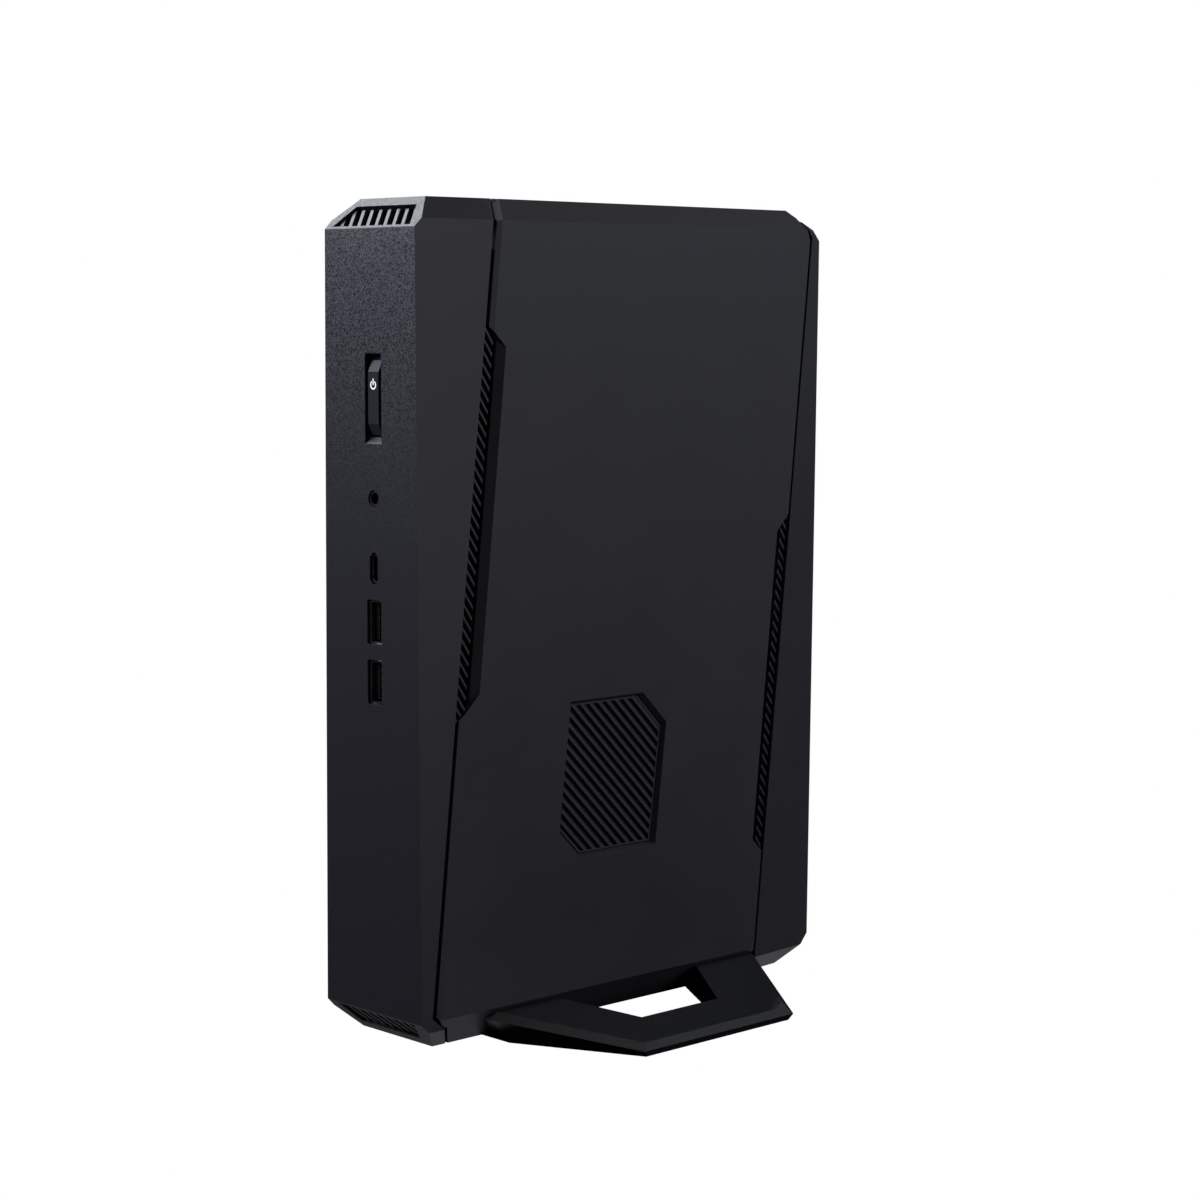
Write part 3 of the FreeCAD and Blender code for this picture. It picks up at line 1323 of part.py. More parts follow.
def make_cold_plate():
    body = board_box("cold_plate_base", PLATE_X, ("50", "142"), ("126", "166"))
    rim = board_box("cold_plate_rim", (f"{PIPE_X[0]} + 1.6", PLATE_X[0]), ("50", "142"), ("162.5", "166"))
    return fuse("cold_plate", [body, rim])


keep("cold_plate", make_cold_plate())


def make_heat_pipe(index, row_z, column_y):
    """A flattened pipe: along the cold plate, round a bend and down the fin stack."""
    start_y = value(f"{FRONT} + 54")
    bend = value("pipe_bend")
    z = value(f"{BASE} + {row_z}")
    y = value(f"{FRONT} + {column_y}")
    end_z = value(f"{BASE} + fin_low + 2")
    x = value(f"{PIPE_X[0]} + pipe_thick / 2")
    corner = Vector(x, y - bend, z - bend)
    slope = math.sqrt(0.5) * bend
    path = Part.Wire([
        Part.LineSegment(Vector(x, start_y, z), Vector(x, y - bend, z)).toShape(),
        Part.Arc(
            Vector(x, y - bend, z), corner + Vector(0, slope, slope), Vector(x, y, z - bend)
        ).toShape(),
        Part.LineSegment(Vector(x, y, z - bend), Vector(x, y, end_z)).toShape(),
    ])
    half_wide = value("pipe_wide") / 2
    half_thick = value("pipe_thick") / 2
    flat = half_wide - half_thick
    low, high = Vector(x, start_y, z - flat), Vector(x, start_y, z + flat)
    left, right = Vector(-half_thick, 0, 0), Vector(half_thick, 0, 0)
    section = Part.Wire([
        Part.LineSegment(low + right, high + right).toShape(),
        Part.Arc(high + right, high + Vector(0, 0, half_thick), high + left).toShape(),
        Part.LineSegment(high + left, low + left).toShape(),
        Part.Arc(low + left, low - Vector(0, 0, half_thick), low + right).toShape(),
    ])
    pipe = doc.addObject("Part::Feature", f"heat_pipe_{index}")
    pipe.Shape = path.makePipeShell([section], True, False)
    return pipe


keep("heat_pipes", group("heat_pipes", [
    make_heat_pipe(0, "136", "136"), make_heat_pipe(1, "146", "147"), make_heat_pipe(2, "156", "158")
]))


def make_fin_stack():
    """Thin fins across the blower's outlet, standing on a base plate."""
    tip = f"-{INSIDE} + 2.2"
    y = (f"{FRONT} + fin_near", f"{FRONT} + fin_far")
    z = (f"{BASE} + fin_low", f"{BASE} + fin_high")
    body = prism("fin_stack", "YZ", f"{PIPE_X[0]} - fin_base", PIPE_X[0], [rect(y, z)])
    fin = pad(body, "YZ", tip, f"{PIPE_X[0]} - fin_base", [rect(y, (z[0], f"{z[0]} + fin_thick"))])
    repeat(body, fin, "Z_Axis", "fin_pitch", 24)
    return body


keep("fin_stack", make_fin_stack())

HUB = (f"{FRONT} + fan_y", f"{BASE} + fan_z")


def make_blower(side, low, high):
    """A blower: a tray, a cover with the inlet, a bladed impeller and its motor."""
    inwards = side == "right"
    plate = (low, f"{low} + fan_wall") if inwards else (f"{high} - fan_wall", high)
    lid = (f"{high} - fan_wall", high) if inwards else (low, f"{low} + fan_wall")
    room = (plate[1], lid[0]) if inwards else (lid[1], plate[0])
    y = (f"{HUB[0]} - fan_case - fan_wall", f"{FRONT} + fan_outlet")
    z = span(HUB[1], "2 * (fan_case + fan_wall)")
    outline = octagon(y, z, "4")
    tray = prism(f"{side}_blower_tray", "YZ", *plate, [outline])
    pad(tray, "YZ", *room, [outline])
    mouth = rect((HUB[0], f"{y[1]} + 1"), span(HUB[1], "2 * fan_case"))
    pocket(tray, "YZ", *room, [mouth])
    pocket(tray, "YZ", *room, circles=[(*HUB, "2 * fan_case")])
    keep(f"{side}_blower_tray", tray)
    cover = prism(f"{side}_blower_cover", "YZ", *lid, [outline], [(*HUB, "2 * fan_inlet")])
    keep(f"{side}_blower_cover", cover)
    spin = (f"{room[0]} + fan_gap", f"{room[1]} - fan_gap")
    cup = (f"{spin[1]} - 1", spin[1]) if inwards else (spin[0], f"{spin[0]} + 1")
    skirt = (f"{spin[0]}", cup[0]) if inwards else (cup[1], f"{spin[1]}")
    impeller = prism(f"{side}_impeller", "YZ", *cup, circles=[("0", "0", "2 * fan_hub")])
    pad(impeller, "YZ", *skirt, circles=[("0", "0", "2 * fan_hub"), ("0", "0", "2 * (fan_hub - 1)")])
    stem = (f"{skirt[0]} + 1.5", skirt[1]) if inwards else (skirt[0], f"{skirt[1]} - 1.5")
    pad(impeller, "YZ", *stem, circles=[("0", "0", "2 * fan_shaft")])
    blade = [
        ("fan_hub - 0.5", "0"),
        ("(fan_hub + fan_radius) / 2", "1.6"),
        ("fan_radius", "5.4"),
        ("fan_radius - 0.3", "5.4 + fan_blade"),
        ("(fan_hub + fan_radius) / 2 - 0.2", "1.6 + fan_blade"),
        ("fan_hub - 0.5", "fan_blade"),
    ]
    vane = pad(impeller, "YZ", f"{spin[0]} + 0.5", f"{spin[1]} - 0.5", [blade])
    turn_round(impeller, vane, "X_Axis", 17)
    impeller.Placement = Placement(Vector(0, value(HUB[0]), value(HUB[1])), Rotation())
    keep(f"{side}_impeller", impeller)
    base = (plate[1], f"{plate[1]} + 1") if inwards else (f"{plate[0]} - 1", plate[0])
    coil = (base[1], f"{cup[0]} - 0.4") if inwards else (f"{cup[1]} + 0.4", base[0])
    stator = prism(
        f"{side}_fan_stator", "YZ", *base,
        circles=[("0", "0", "2 * stator_radius"), ("0", "0", "2 * (fan_shaft + shaft_clearance)")],
    )
    pad(
        stator, "YZ", *coil,
        circles=[("0", "0", "2 * stator_radius - 1.6"), ("0", "0", "2 * (fan_shaft + shaft_clearance)")],
    )
    stator.Placement = impeller.Placement
    keep(f"{side}_fan_stator", stator)


make_blower("right", "right_fan_low", "right_fan_high")
make_blower("left", "left_fan_low", "left_fan_high")


def make_memory():
    """Two stacked-edge memory modules in their sockets."""
    sockets, modules = [], []
    for index, low in enumerate(("176", "210")):
        far = f"{low} + 6"
        body = ("board_face - 4", "board_face")
        base = board_box(f"memory_socket_body_{index}", body, ("42", "114"), (low, far))
        slit = board_box(
            f"memory_slit_{index}", ("board_face - 3", "board_face - 1.8"), ("43.2", "112.8"),
            (f"{low} + 3", f"{far} + 1"),
        )
        sockets.append(cut(f"memory_socket_{index}", base, slit))
        card = board_box(
            f"memory_card_{index}", ("board_face - 3", "board_face - 1.8"), ("44.2", "111.8"),
            (f"{low} + 3", f"{low} + 32"),
        )
        chips = [
            board_box(
                f"memory_chip_{index}_{row}", ("board_face - 4", "board_face - 3"),
                (f"47 + {row} * 16", f"58 + {row} * 16"), (f"{low} + 12", f"{low} + 26"),
            )
            for row in range(4)
        ]
        modules.append(fuse(f"memory_module_{index}", [card, *chips]))
    return group("memory_sockets", sockets), group("memory_modules", modules)


sockets, modules = make_memory()
keep("memory_sockets", sockets)
keep("memory_modules", modules)


def make_card(name, y, z, chips):
    """A plug-in card over the board, in its edge socket."""
    card = board_box(f"{name}_card", ("board_face - 3.2", "board_face - 2.4"), y, z)
    socket = board_box(
        f"{name}_socket", ("board_face - 3.6", "board_face"), y, (f"{z[0]} - 3", f"{z[0]} + 3")
    )
    slot = board_box(
        f"{name}_slot", ("board_face - 3.2", "board_face - 2.4"), y, (z[0], f"{z[0]} + 3.1")
    )
    parts = [board_box(f"{name}_chip_{row}", ("board_face - 4.2", "board_face - 3.2"), *chip)
             for row, chip in enumerate(chips)]
    return fuse(name, [cut(f"{name}_socket_open", socket, slot), card, *parts])


keep("ssd_module", make_card("ssd_module", ("119", "141"), ("172", "238"), [
    (("121", "139"), ("180", "194")), (("121", "139"), ("198", "212")), (("121", "139"), ("216", "230"))]))
keep("wifi_card", make_card("wifi_card", ("60", "82"), ("20", "40"), [(("62", "80"), ("26", "37"))]))


def make_coin_cell():
    """A coin cell stuck to the board: its can and the smaller negative cap."""
    centre = (f"{FRONT} + 112", f"{BASE} + 30")
    can = rod("coin_can", "X", centre, "board_face - 2.6", "board_face", "20")
    cap = rod("coin_cap", "X", centre, "board_face - 3.2", "board_face - 2.6", "17.4")
    return fuse("coin_cell", [can, cap])


keep("coin_cell", make_coin_cell())


# ---- stand --------------------------------------------------------------------------

STAND_LOW = "stand_pad_thick"


def wing_plan(lean, level_grow):
    """The stand's outline on the table; lean pushes the front and rear walls outwards."""
    near_in, near_out = f"{FRONT} + stand_near_inner", f"{FRONT} + stand_near_outer"
    far_in, far_out = f"{FRONT} + stand_far_inner", f"{FRONT} + stand_far_outer"
    slope = "(stand_near_outer - stand_near_inner) / (stand_outer - stand_inner)"
    out = f"(stand_outer + {level_grow})"
    return [
        (f"-{out}", f"{near_out} - {lean} + {level_grow} * {slope}"),
        ("-stand_inner", f"{near_in} - {lean}"),
        ("stand_inner", f"{near_in} - {lean}"),
        (out, f"{near_out} - {lean} + {level_grow} * {slope}"),
        (out, f"{far_out} + {lean} - {level_grow} * {slope}"),
        ("stand_inner", f"{far_in} + {lean}"),
        ("-stand_inner", f"{far_in} + {lean}"),
        (f"-{out}", f"{far_out} + {lean} - {level_grow} * {slope}"),
    ]


def stand_bevel(end, sign):
    """The cut that bevels one long edge of the right wing."""
    corner = ("stand_outer", f"{FRONT} + stand_{end}_bevel", f"{BASE} + stand_tip_top - stand_rim_drop")
    place = Placement(
        Vector(*(value(level) for level in corner)),
        Rotation(Vector(0, 0, 1), sign * value("stand_bevel_turn"))
        * Rotation(Vector(0, 1, 0), value("stand_bevel_tilt")),
    )
    face = [rect(LONG, LONG)]
    return prism(f"stand_{end}_bevel", "XY", "0", "tool_reach", face, place=place)


def make_stand():
    """Two wings and a cradle: a section along the casing, cut to the plan and windows."""
    under = f"{BASE} - hairline"
    rim_top = f"({BASE} + stand_tip_top)"
    lip_top = f"({BASE} + stand_lip_top)"
    right = [
        (f"{SPLIT} + hairline", under),
        (f"{SPLIT} + hairline + (stand_lip_top + hairline) * side_chamfer / hem_tall", lip_top),
        ("stand_inner + hairline", lip_top),
        ("stand_outer - stand_rim_run", rim_top),
        ("stand_outer", f"{rim_top} - stand_rim_drop"),
        ("stand_outer - stand_undercut", STAND_LOW),
    ]
    left = [(f"-({u})", v) for u, v in reversed(right)]
    section = prism("stand_section", "XZ", FRONT, REAR, [left + right])
    plan = lofted(
        "stand_plan", "XY",
        [
            (STAND_LOW, wing_plan("0", "0")),
            (lip_top, wing_plan("stand_lean", "0")),
        ],
    )
    window = prism(
        "stand_window", "XY", "-foot_height", f"{BASE} + 2 * stand_lip_top",
        [[
            ("stand_window_inner", f"{FRONT} + stand_window_near"),
            ("stand_window_outer", f"{FRONT} + stand_window_near_outer"),
            ("stand_window_outer", f"{FRONT} + stand_window_far_outer"),
            ("stand_window_inner", f"{FRONT} + stand_window_far"),
        ]],
    )
    screws = [
        rod(f"stand_bore_{side}", "Z", ("0", f"{sign}stand_screw_pitch / 2"),
            "-foot_height", f"{BASE} + 2", "stand_screw + hairline")
        for side, sign in (("near", "-"), ("far", ""))
    ]
    sinks = [
        rod(f"stand_sink_{side}", "Z", ("0", f"{sign}stand_screw_pitch / 2"),
            "-foot_height", "stand_pad_thick + stand_sink", "2 * stand_screw")
        for side, sign in (("near", "-"), ("far", ""))
    ]
    solid = common("stand_solid", section, plan)
    bevels = [stand_bevel("near", -1), stand_bevel("far", 1)]
    right_tools = [window, *bevels]
    left_tools = [mirrored(f"left_{tool.Label}", tool) for tool in right_tools]
    tools = [*right_tools, *left_tools, *screws, *sinks]
    return cut("stand_base", solid, fuse("stand_tools", tools))


keep("stand_base", make_stand())


def make_stand_screws():
    screws = []
    for side, sign in (("near", "-"), ("far", "")):
        centre = ("0", f"{sign}stand_screw_pitch / 2")
        seat = "stand_pad_thick + stand_sink"
        head = rod(
            f"stand_head_{side}", "Z", centre, f"{seat} - stand_head", seat,
            "2 * stand_screw - hairline",
        )
        shank = rod(f"stand_shank_{side}", "Z", centre, seat, f"{BASE} + 3 * wall", "stand_screw")
        screws.append(fuse(f"stand_screw_{side}", [head, shank]))
    return group("stand_screws", screws)


keep("stand_screws", make_stand_screws())


def make_stand_pads():
    level = ("0", "stand_pad_thick")
    pads = [block("pad_middle", span("0", "pad_wide"), span("0", "pad_long"), level)]
    for index, (sign_x, sign_y) in enumerate((("", ""), ("", "-"), ("-", ""), ("-", "-"))):
        centre = (f"{sign_x}(stand_outer - pad_inset)", f"{sign_y}pad_apart / 2")
        pads.append(rod(f"pad_{index}", "Z", centre, *level, "pad_round"))
    return group("stand_pads", pads)


keep("stand_pads", make_stand_pads())


def make_antennas():
    """Two printed antennas stood against the rear of the top and bottom covers."""
    strips = []
    wide = ("-antenna_left", "antenna_wide - antenna_left")
    long = (f"{REAR} - antenna_far", f"{REAR} - antenna_far + antenna_long")
    levels = (f"{TOP} - wall - hairline - antenna_thick", f"{BASE} + wall + hairline")
    for index, z in enumerate(levels):
        strips.append(block(f"antenna_{index}", wide, long, (z, f"{z} + antenna_thick")))
    return group("wifi_antennas", strips)


keep("wifi_antennas", make_antennas())


# ---- checks and files ---------------------------------------------------------------

doc.recompute()
for thing in doc.Objects:
    if {"Invalid", "Error"} & set(thing.State):
        raise ValueError(f"{thing.Label} did not build: {thing.State}")

os.makedirs("parts", exist_ok=True)
for name, thing in nodes.items():
    shape = thing.Shape
    if shape.isNull() or not shape.isValid() or not shape.Solids:
        raise ValueError(f"{name} has no valid solid")
    shape.exportStep(f"parts/{name}.step")
print(len(nodes), "nodes written")
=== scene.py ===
"""The looks of a slim upright mini PC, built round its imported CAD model.

Units are metres, in the model's own frame: +Z is up, the narrow side with the sockets faces -Y,
and the large side that the camera sees faces +X.
"""

import json
import math

import bpy
from mathutils import Matrix, Vector


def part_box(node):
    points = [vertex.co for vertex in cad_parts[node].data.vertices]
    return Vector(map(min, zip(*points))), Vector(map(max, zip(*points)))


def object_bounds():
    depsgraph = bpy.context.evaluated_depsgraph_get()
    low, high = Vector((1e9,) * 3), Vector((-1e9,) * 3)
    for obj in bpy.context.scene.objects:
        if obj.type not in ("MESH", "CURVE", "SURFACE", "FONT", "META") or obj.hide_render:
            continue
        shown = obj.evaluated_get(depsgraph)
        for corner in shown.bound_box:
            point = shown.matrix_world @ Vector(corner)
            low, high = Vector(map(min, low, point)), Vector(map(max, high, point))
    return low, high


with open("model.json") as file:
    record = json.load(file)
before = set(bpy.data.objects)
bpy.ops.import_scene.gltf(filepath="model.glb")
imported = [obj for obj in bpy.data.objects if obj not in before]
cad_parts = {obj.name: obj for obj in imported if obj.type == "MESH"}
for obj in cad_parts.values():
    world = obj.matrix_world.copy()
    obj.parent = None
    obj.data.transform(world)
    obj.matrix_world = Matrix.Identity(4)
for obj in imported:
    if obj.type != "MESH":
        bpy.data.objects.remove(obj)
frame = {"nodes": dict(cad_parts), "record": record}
cad_low, cad_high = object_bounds()

MM = 0.001
NODES = frame["nodes"]


# ---- camera and light ---------------------------------------------------------------

CAMERA_PLACE = (0.6511, -0.60815, 0.2298)
CAMERA_YAW = math.radians(46.575)
CAMERA_DOWN = math.radians(6.022)
CAMERA_ROLL = math.radians(0.132)
CAMERA_LENS = 80.98
SENSOR = 36.0
CLIP_NEAR = 0.05
CLIP_FAR = 50

# name: (place, target, size, watts, colour)
SOFTBOXES = {
    "front_edge": ((-0.36, -0.44, 0.42), (0, -0.09, 0.26), (0.22, 0.16), 1.42, (0.87, 1.0, 1.17)),
    "front_top": ((-0.22, -0.75, 0.9), (0, -0.09, 0.2), (0.5, 0.4), 1.9, (1.0, 1.0, 1.1)),
    "left_high": ((-0.9, -0.75, 0.9), (0, 0, 0.2), (0.6, 0.5), 9.5, (1.04, 1.0, 1.16)),
    "upper_left": ((-0.62, -0.02, 0.84), (0, -0.085, 0.26), (0.5, 0.42), 4.1, (0.95, 1.0, 1.04)),
    "right_direct": ((1.7, 0.1, 0.2), (0, 0, 0.12), (0.7, 0.7), 6.5, (1.06, 1.0, 1.16)),
    "right_low": ((1.1, 0.8, 0.09), (0, 0, 0.04), (0.9, 0.14), 0.5, (1.04, 1.0, 1.12)),
    "right_rear": ((1.0, 1.05, 0.85), (0, 0, 0.24), (0.9, 0.45), 6.8, (0.88, 1.0, 1.1)),
    "overhead": ((0.05, 0.0, 1.4), (0, 0, 0.1), (0.5, 0.5), 2.4, (1.0, 1.0, 1.0)),
    "back_top": ((0.3, 0.9, 1.1), (0, 0, 0.1), (0.6, 0.5), 0.8, (1.0, 1.0, 1.05)),
    "fill": ((0.9, -1.25, 0.75), (0, 0, 0.13), (0.9, 0.9), 0.8, (1.0, 1.0, 1.0)),
    "left_rear": ((-1.1, 1.0, 0.8), (0, 0, 0.13), (0.9, 0.9), 9, (1.0, 1.0, 1.04)),
}
GLOWS = {
    "rear_glow": ((0, 0.31, 0.002), (0, 0.31, 1), (0.7, 0.5), 0.75, (1.0, 1.0, 1.0)),
    "front_glow": ((-0.2, -0.23, 0.002), (-0.2, -0.23, 1), (0.6, 0.34), 0.2, (1.0, 1.0, 1.05)),
}
GLOW_SPREAD = math.radians(110)


def add_camera():
    data = bpy.data.cameras.new("camera")
    data.lens = CAMERA_LENS
    data.sensor_width = SENSOR
    data.clip_start = CLIP_NEAR
    data.clip_end = CLIP_FAR
    camera = bpy.data.objects.new("camera", data)
    turn = (
        Matrix.Rotation(CAMERA_YAW, 4, "Z")
        @ Matrix.Rotation(math.radians(90) - CAMERA_DOWN, 4, "X")
        @ Matrix.Rotation(CAMERA_ROLL, 4, "Z")
    )
    camera.matrix_world = Matrix.Translation(CAMERA_PLACE) @ turn
    bpy.context.scene.collection.objects.link(camera)
    bpy.context.scene.camera = camera


def add_softbox(name, place, target, size, watts, colour):
    """A rectangular area light that points at a target."""
    data = bpy.data.lights.new(name, "AREA")
    data.shape = "RECTANGLE"
    data.size, data.size_y = size
    data.energy = watts
    data.color = colour
    lamp = bpy.data.objects.new(name, data)
    lamp.location = place
    lamp.rotation_mode = "QUATERNION"
    lamp.rotation_quaternion = (Vector(target) - Vector(place)).to_track_quat("-Z", "Y")
    bpy.context.scene.collection.objects.link(lamp)
    return lamp


def add_glow(name, setting):
    """The light that a pale floor beside the casing would send up at the undersides."""
    lamp = add_softbox(name, *setting)
    lamp.data.spread = GLOW_SPREAD
    lamp.visible_camera = False


def add_world():
    """White behind the object; it lights nothing, which is the softboxes' work."""
    world = bpy.data.worlds.new("studio")
    world.use_nodes = True
    background = world.node_tree.nodes["Background"]
    background.inputs["Color"].default_value = (1, 1, 1, 1)
    background.inputs["Strength"].default_value = 1.0
    world.cycles_visibility.diffuse = False
    world.cycles_visibility.glossy = False
    bpy.context.scene.world = world


add_camera()
add_world()
for name, setting in SOFTBOXES.items():
    add_softbox(name, *setting)
for name, setting in GLOWS.items():
    add_glow(name, setting)
bpy.context.scene.view_settings.view_transform = "Standard"


# ---- shader graphs ------------------------------------------------------------------


class Graph:
    """A material's node graph, with short ways to add nodes and join them."""

    def __init__(self, name):
        self.material = bpy.data.materials.new(name)
        self.material.use_nodes = True
        self.tree = self.material.node_tree
        self.shader = self.tree.nodes["Principled BSDF"]
        self.coords = self.add("ShaderNodeTexCoord")
        self.place = self.coords.outputs["Object"]

    def add(self, kind, links=(), **values):
        """A new node, whose sockets take either another node's output or a value."""
        node = self.tree.nodes.new(kind)
        for key, item in values.items():
            setattr(node, key, item)
        for socket, source in dict(links).items():
            if isinstance(source, bpy.types.NodeSocket):
                self.tree.links.new(source, node.inputs[socket])
            else:
                node.inputs[socket].default_value = source
        return node

    def combine(self, operation, first, second):
        """Two fields added or multiplied."""
        return self.add("ShaderNodeMath", {0: first, 1: second}, operation=operation).outputs[0]

    def noise(self, size, detail=2.0, place=None):
        """A cloudy field whose features are about that size."""
        links = {"Vector": place or self.place, "Scale": 1 / size, "Detail": detail}
        return self.add("ShaderNodeTexNoise", links).outputs["Fac"]

    def flecks(self, size):
        """A field of cells of about that size, each with one value from 0 to 1."""
        cells = self.add("ShaderNodeTexVoronoi", {"Vector": self.place, "Scale": 1 / size})
        return self.add("ShaderNodeSeparateColor", {"Color": cells.outputs["Color"]}).outputs[0]

    def along(self, vector, axis):
        """One axis of a vector field."""
        return self.add("ShaderNodeSeparateXYZ", {"Vector": vector}).outputs[axis]

    def ramp(self, field, low, high, colours):
        """Colours spread over a field from low to high."""
        node = self.add("ShaderNodeValToRGB", {"Fac": field})
        stops = node.color_ramp.elements
        stops[0].position, stops[1].position = low, high
        stops[0].color, stops[1].color = (*colours[0], 1), (*colours[1], 1)
        return node.outputs["Color"]

    def span(self, field, low, high, to_low, to_high):
        """A field mapped from one range on to another."""
        links = {0: field, 1: low, 2: high, 3: to_low, 4: to_high}
        return self.add("ShaderNodeMapRange", links).outputs[0]

    def set(self, **sockets):
        """Gives the shader's sockets their fields or values."""
        for name, item in sockets.items():
            socket = self.shader.inputs[name.replace("_", " ")]
            if isinstance(item, bpy.types.NodeSocket):
                self.tree.links.new(item, socket)
            else:
                socket.default_value = item

    def bump(self, height, strength, deep):
        node = self.add("ShaderNodeBump", {"Height": height, "Strength": strength, "Distance": deep})
        self.set(Normal=node.outputs["Normal"])


def shade(colour, factor):
    return tuple(part * factor for part in colour)


def tones(colour, factors):
    """A colour at each of several strengths."""
    return [shade(colour, factor) for factor in factors]


# ---- materials ----------------------------------------------------------------------

# Tones are multiples of a material's own colour, and a gloss is how far its roughness varies.
USUAL = (0.3, 0.7)              # where most of a noise field lies

CLOUD = 28 * MM                 # how far apart the slow changes of tone are
CLOUD_DRIFT = 0.1               # how far they shift the grain
MOULD_RANGE = (0.3, 0.72)
MOULD_TONES = (0.85, 1.15)
MOULD_GLOSS_RANGE = (0.25, 0.75)
MOULD_GLOSS = 0.05
MOULD_DEPTH = 0.03 * MM

FLECK = 0.33 * MM
FLECK_SWING = (-0.5, 0.5)       # a fleck's range, with the plastic's own tone in the middle
FLECK_TONES = (0.45, 1.85)
FLECK_SPECULAR = (0.05, 1.95)   # the specular level of the darkest and palest fleck
FLECK_DEPTH = 0.035 * MM
FLECK_GLOSS_SIZE = 0.3 * MM
FLECK_GLOSS = 0.04
PORT_SIDE_TURN = (-0.5, -0.9)   # the normal's Y where the flecks start and where they are full
FLECK_GLINT_FADE = (0.584, 0.836)     # shares of the object's height where the flecks, partly a painted glint, are faint and full
FAINT = 0.1

STREAK = 0.5 * MM
STREAK_TONES = (0.8, 1.1)
STREAK_GLOSS = 0.08
STREAK_RELIEF = 0.15
STREAK_DEPTH = 0.02 * MM

LENS_CLOUD = 0.6 * MM
LENS_TONES = (0.9, 1.0)
LENS_ROUGH = 0.35

CONTACT_EDGE = (0.2 * MM, 0.1 * MM)   # below the tongue's face: where plastic ends and gilt starts
CONTACT_RANGE = (0.4, 0.6)
CONTACT_WEAR = 0.6 * MM
CONTACT_ROUGH = (0.3, 0.42)
TONGUE_BLACK = (0.006, 0.006, 0.0065)
GILT = (0.62, 0.50, 0.30)

PANEL_BLACK = (0.0165, 0.0158, 0.0195)
PART_BLACK = (0.010, 0.010, 0.011)


def moulded(name, colour, rough=0.5, grain=0.45, relief=0.3, specular=0.4):
    """Moulded plastic: a fine spark-eroded grain, and slow changes of tone and gloss."""
    graph = Graph(name)
    fine = graph.noise(grain * MM, 3.0)
    slow = graph.noise(CLOUD, 3.0)
    mixed = graph.combine("ADD", fine, graph.span(slow, *USUAL, -CLOUD_DRIFT, CLOUD_DRIFT))
    gloss = graph.span(mixed, *MOULD_GLOSS_RANGE, rough - MOULD_GLOSS, rough + MOULD_GLOSS)
    graph.set(Base_Color=graph.ramp(mixed, *MOULD_RANGE, tones(colour, MOULD_TONES)), Roughness=gloss)
    graph.set(Specular_IOR_Level=specular)
    graph.bump(fine, relief, MOULD_DEPTH)
    return graph.material


def speckled_with_painted_glint(name, colour, rough, specular):
    """Moulded plastic whose port side has a sharper fleck grain, which is painted to fade towards the
    bottom: partly real grain, partly a painted glint that is strongest at the top, where the light falls.
    """
    graph = Graph(name)
    full_height = cad_high[2]
    faint_level, full_level = (share * full_height for share in FLECK_GLINT_FADE)
    facing = graph.span(graph.along(graph.coords.outputs["Normal"], "Y"), *PORT_SIDE_TURN, 0.0, 1.0)
    # painted glint: the flecks' colour, gloss and bump fade with height, and are full at the top where
    # the light falls
    painted_glint_level = graph.span(graph.along(graph.place, "Z"), faint_level, full_level, FAINT, 1.0)
    fleck_and_glint_mask = graph.combine("MULTIPLY", facing, painted_glint_level)
    flecks = graph.span(graph.flecks(FLECK), 0.0, 1.0, *FLECK_SWING)
    grain = graph.combine("MULTIPLY", flecks, fleck_and_glint_mask)
    tone = graph.span(grain, *FLECK_SWING, 0.0, 1.0)
    # the flecks' spread of colour is partly real grain and partly painted glint
    graph.set(Base_Color=graph.ramp(tone, 0.0, 1.0, tones(colour, FLECK_TONES)))
    fine = graph.noise(FLECK_GLOSS_SIZE)
    graph.set(Roughness=graph.span(fine, *USUAL, rough + FLECK_GLOSS, rough - FLECK_GLOSS))
    graph.set(Specular_IOR_Level=graph.span(grain, *FLECK_SWING, *shade(FLECK_SPECULAR, specular)))
    graph.bump(grain, 1.0, FLECK_DEPTH)
    return graph.material


def metal(name, colour, rough, streak=(1, 1, 1)):
    """Plated or bare metal with fine brushed streaks."""
    graph = Graph(name)
    stretch = graph.add("ShaderNodeMapping", {"Vector": graph.place, "Scale": streak}).outputs[0]
    lines = graph.noise(STREAK, 3.0, stretch)
    graph.set(Base_Color=graph.ramp(lines, *USUAL, tones(colour, STREAK_TONES)), Metallic=1.0)
    graph.set(Roughness=graph.span(lines, *USUAL, rough - STREAK_GLOSS, rough + STREAK_GLOSS))
    graph.bump(lines, STREAK_RELIEF, STREAK_DEPTH)
    return graph.material


def glowing(name, colour, strength):
    """A white light guide."""
    graph = Graph(name)
    cloud = graph.noise(LENS_CLOUD)
    graph.set(Base_Color=graph.ramp(cloud, *USUAL, tones(colour, LENS_TONES)), Roughness=LENS_ROUGH)
    graph.set(Emission_Color=(*colour, 1), Emission_Strength=strength)
    return graph.material


def contact_tongue(name, node):
    """A socket's plastic tongue whose raised contacts are gilt."""
    graph = Graph(name)
    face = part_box(node)[1][0]
    bare, gilded = (face - step for step in CONTACT_EDGE)
    ridge = graph.span(graph.along(graph.place, "X"), bare, gilded, 0.0, 1.0)
    wear = graph.noise(CONTACT_WEAR)
    graph.set(Base_Color=graph.ramp(ridge, *CONTACT_RANGE, (TONGUE_BLACK, GILT)))
    graph.set(Metallic=ridge, Roughness=graph.span(wear, *USUAL, *CONTACT_ROUGH))
    return graph.material


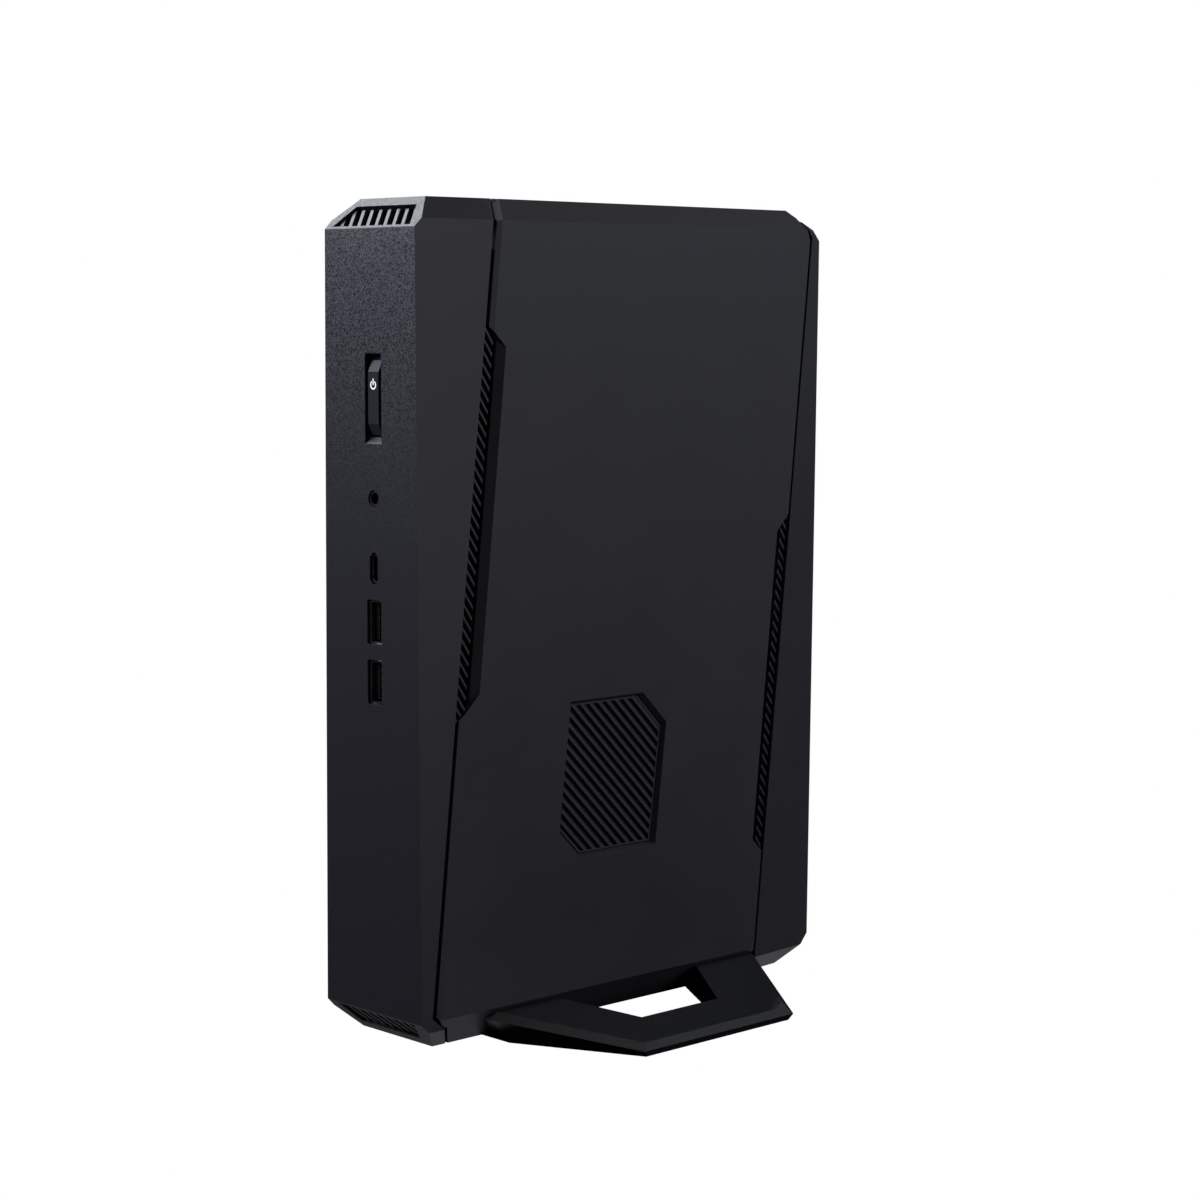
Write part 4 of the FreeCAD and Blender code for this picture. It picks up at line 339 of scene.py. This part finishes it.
# the record's material slots
MATERIALS = {
    "front_shell": speckled_with_painted_glint("front_shell_plastic_painted_glint", (0.0150, 0.0143, 0.0178), 0.42, 0.4),
    "rear_shell": moulded("rear_shell_plastic", (0.0145, 0.0138, 0.0172), 0.5, 0.5, 0.4),
    "side_panel": moulded("side_panel_plastic", PANEL_BLACK, 0.5),
    "cover": moulded("cover_plastic", PANEL_BLACK, 0.5),
    "vent": moulded("vent_plastic", (0.030, 0.030, 0.034), 0.4),
    "louvre": moulded("louvre_plastic", (0.018, 0.0175, 0.021), 0.45),
    "grille": moulded("grille_plastic", (0.025, 0.0243, 0.029), 0.45),
    "filter": moulded("filter_mesh", (0.008, 0.008, 0.009), 0.8, 0.8, 0.6),
    "stand": moulded("stand_plastic", (0.0098, 0.0094, 0.0115), 0.45, specular=0.3),
    "pads": moulded("pad_rubber", (0.012, 0.012, 0.012), 0.85, 0.8, 0.5, 0.25),
    "button": moulded("button_plastic", (0.020, 0.022, 0.024), 0.45, 0.3, 0.15, 0.1),
    "lens": glowing("lens_plastic", (0.85, 0.87, 0.9), 0.6),
    "socket_plastic": moulded("socket_plastic", PART_BLACK, 0.4),
    "tongue": moulded("tongue_plastic", TONGUE_BLACK, 0.4, specular=0.25),
    "socket_shell": metal("socket_steel", (0.20, 0.20, 0.205), 0.35, (1, 8, 1)),
    "port_plate": metal("port_plate_steel", (0.10, 0.10, 0.105), 0.5, (1, 1, 10)),
    "chassis": metal("chassis_steel", (0.5, 0.5, 0.5), 0.45, (1, 1, 6)),
    "black_screw": metal("blackened_steel", (0.06, 0.06, 0.062), 0.4),
    "screw": metal("plated_steel", (0.6, 0.6, 0.61), 0.3),
    "cell": metal("cell_steel", (0.62, 0.62, 0.62), 0.3),
    "copper": metal("bare_copper", (0.72, 0.36, 0.22), 0.3, (1, 6, 1)),
    "fins": metal("fin_aluminium", (0.75, 0.75, 0.76), 0.35, (6, 1, 1)),
    "board": moulded("board_laminate", (0.012, 0.018, 0.026), 0.4),
    "die": moulded("package_ceramic", (0.03, 0.034, 0.03), 0.35),
    "blower": moulded("blower_plastic", PART_BLACK, 0.55),
    "impeller": moulded("impeller_plastic", (0.014, 0.014, 0.015), 0.5),
    "antenna": moulded("antenna_film", (0.10, 0.08, 0.03), 0.4),
}

# nodes whose finish differs from the rest of their slot
SPECIAL = {
    node: contact_tongue(f"{node}_finish", node)
    for node in ("front_usb_a_upper_tongue", "front_usb_a_lower_tongue")
}


# ---- the CAD pieces -----------------------------------------------------------------

# how wide each softened piece's edges are, in millimetres
EDGES = {
    "front_bezel": 0.35, "rear_shell": 0.35, "left_side_panel": 0.3, "right_side_panel": 0.3,
    "top_cover": 0.3, "bottom_cover": 0.3, "stand_base": 0.45, "power_button": 0.25,
    "top_front_vent": 0.12, "bottom_front_vent": 0.12,
}
WELD_REACH = 0.005 * MM
FLAT_ANGLE = math.radians(0.6)
EDGE_ANGLE = math.radians(12)
EDGE_SEGMENTS = 3


def soften(thing, wide):
    """Joins a CAD piece's facets into flats and, given a width, rounds the edges between them."""
    weld = thing.modifiers.new("weld", "WELD")
    weld.merge_threshold = WELD_REACH
    flat = thing.modifiers.new("flat", "DECIMATE")
    flat.decimate_type = "DISSOLVE"
    flat.angle_limit = FLAT_ANGLE
    if wide:
        edge = thing.modifiers.new("edge", "BEVEL")
        edge.width = wide * MM
        edge.segments = EDGE_SEGMENTS
        edge.limit_method = "ANGLE"
        edge.angle_limit = EDGE_ANGLE
        edge.use_clamp_overlap = True
        edge.harden_normals = True


def dress_cad():
    for entry in frame["record"]["subparts"]:
        thing = NODES[entry["node"]]
        thing.data.materials.clear()
        thing.data.materials.append(SPECIAL.get(entry["node"]) or MATERIALS[entry["material_slot"]])
        thing.data.shade_flat()
        soften(thing, EDGES.get(entry["node"], 0))


dress_cad()


# ---- floor --------------------------------------------------------------------------

FLOOR_REACH = 8.0


def add_floor():
    """White paper that stays even, because it gives its own light and throws none."""
    graph = Graph("floor_paper")
    graph.set(Base_Color=(0, 0, 0, 1), Roughness=1.0, Specular_IOR_Level=0.0)
    graph.set(Emission_Color=(1, 1, 1, 1), Emission_Strength=1.0)
    mesh = bpy.data.meshes.new("floor")
    far = FLOOR_REACH
    mesh.from_pydata([(-far, -far, 0), (far, -far, 0), (far, far, 0), (-far, far, 0)], [], [(0, 1, 2, 3)])
    floor = bpy.data.objects.new("floor", mesh)
    floor.data.materials.append(graph.material)
    floor.visible_diffuse = False
    floor.visible_glossy = False
    bpy.context.scene.collection.objects.link(floor)


add_floor()
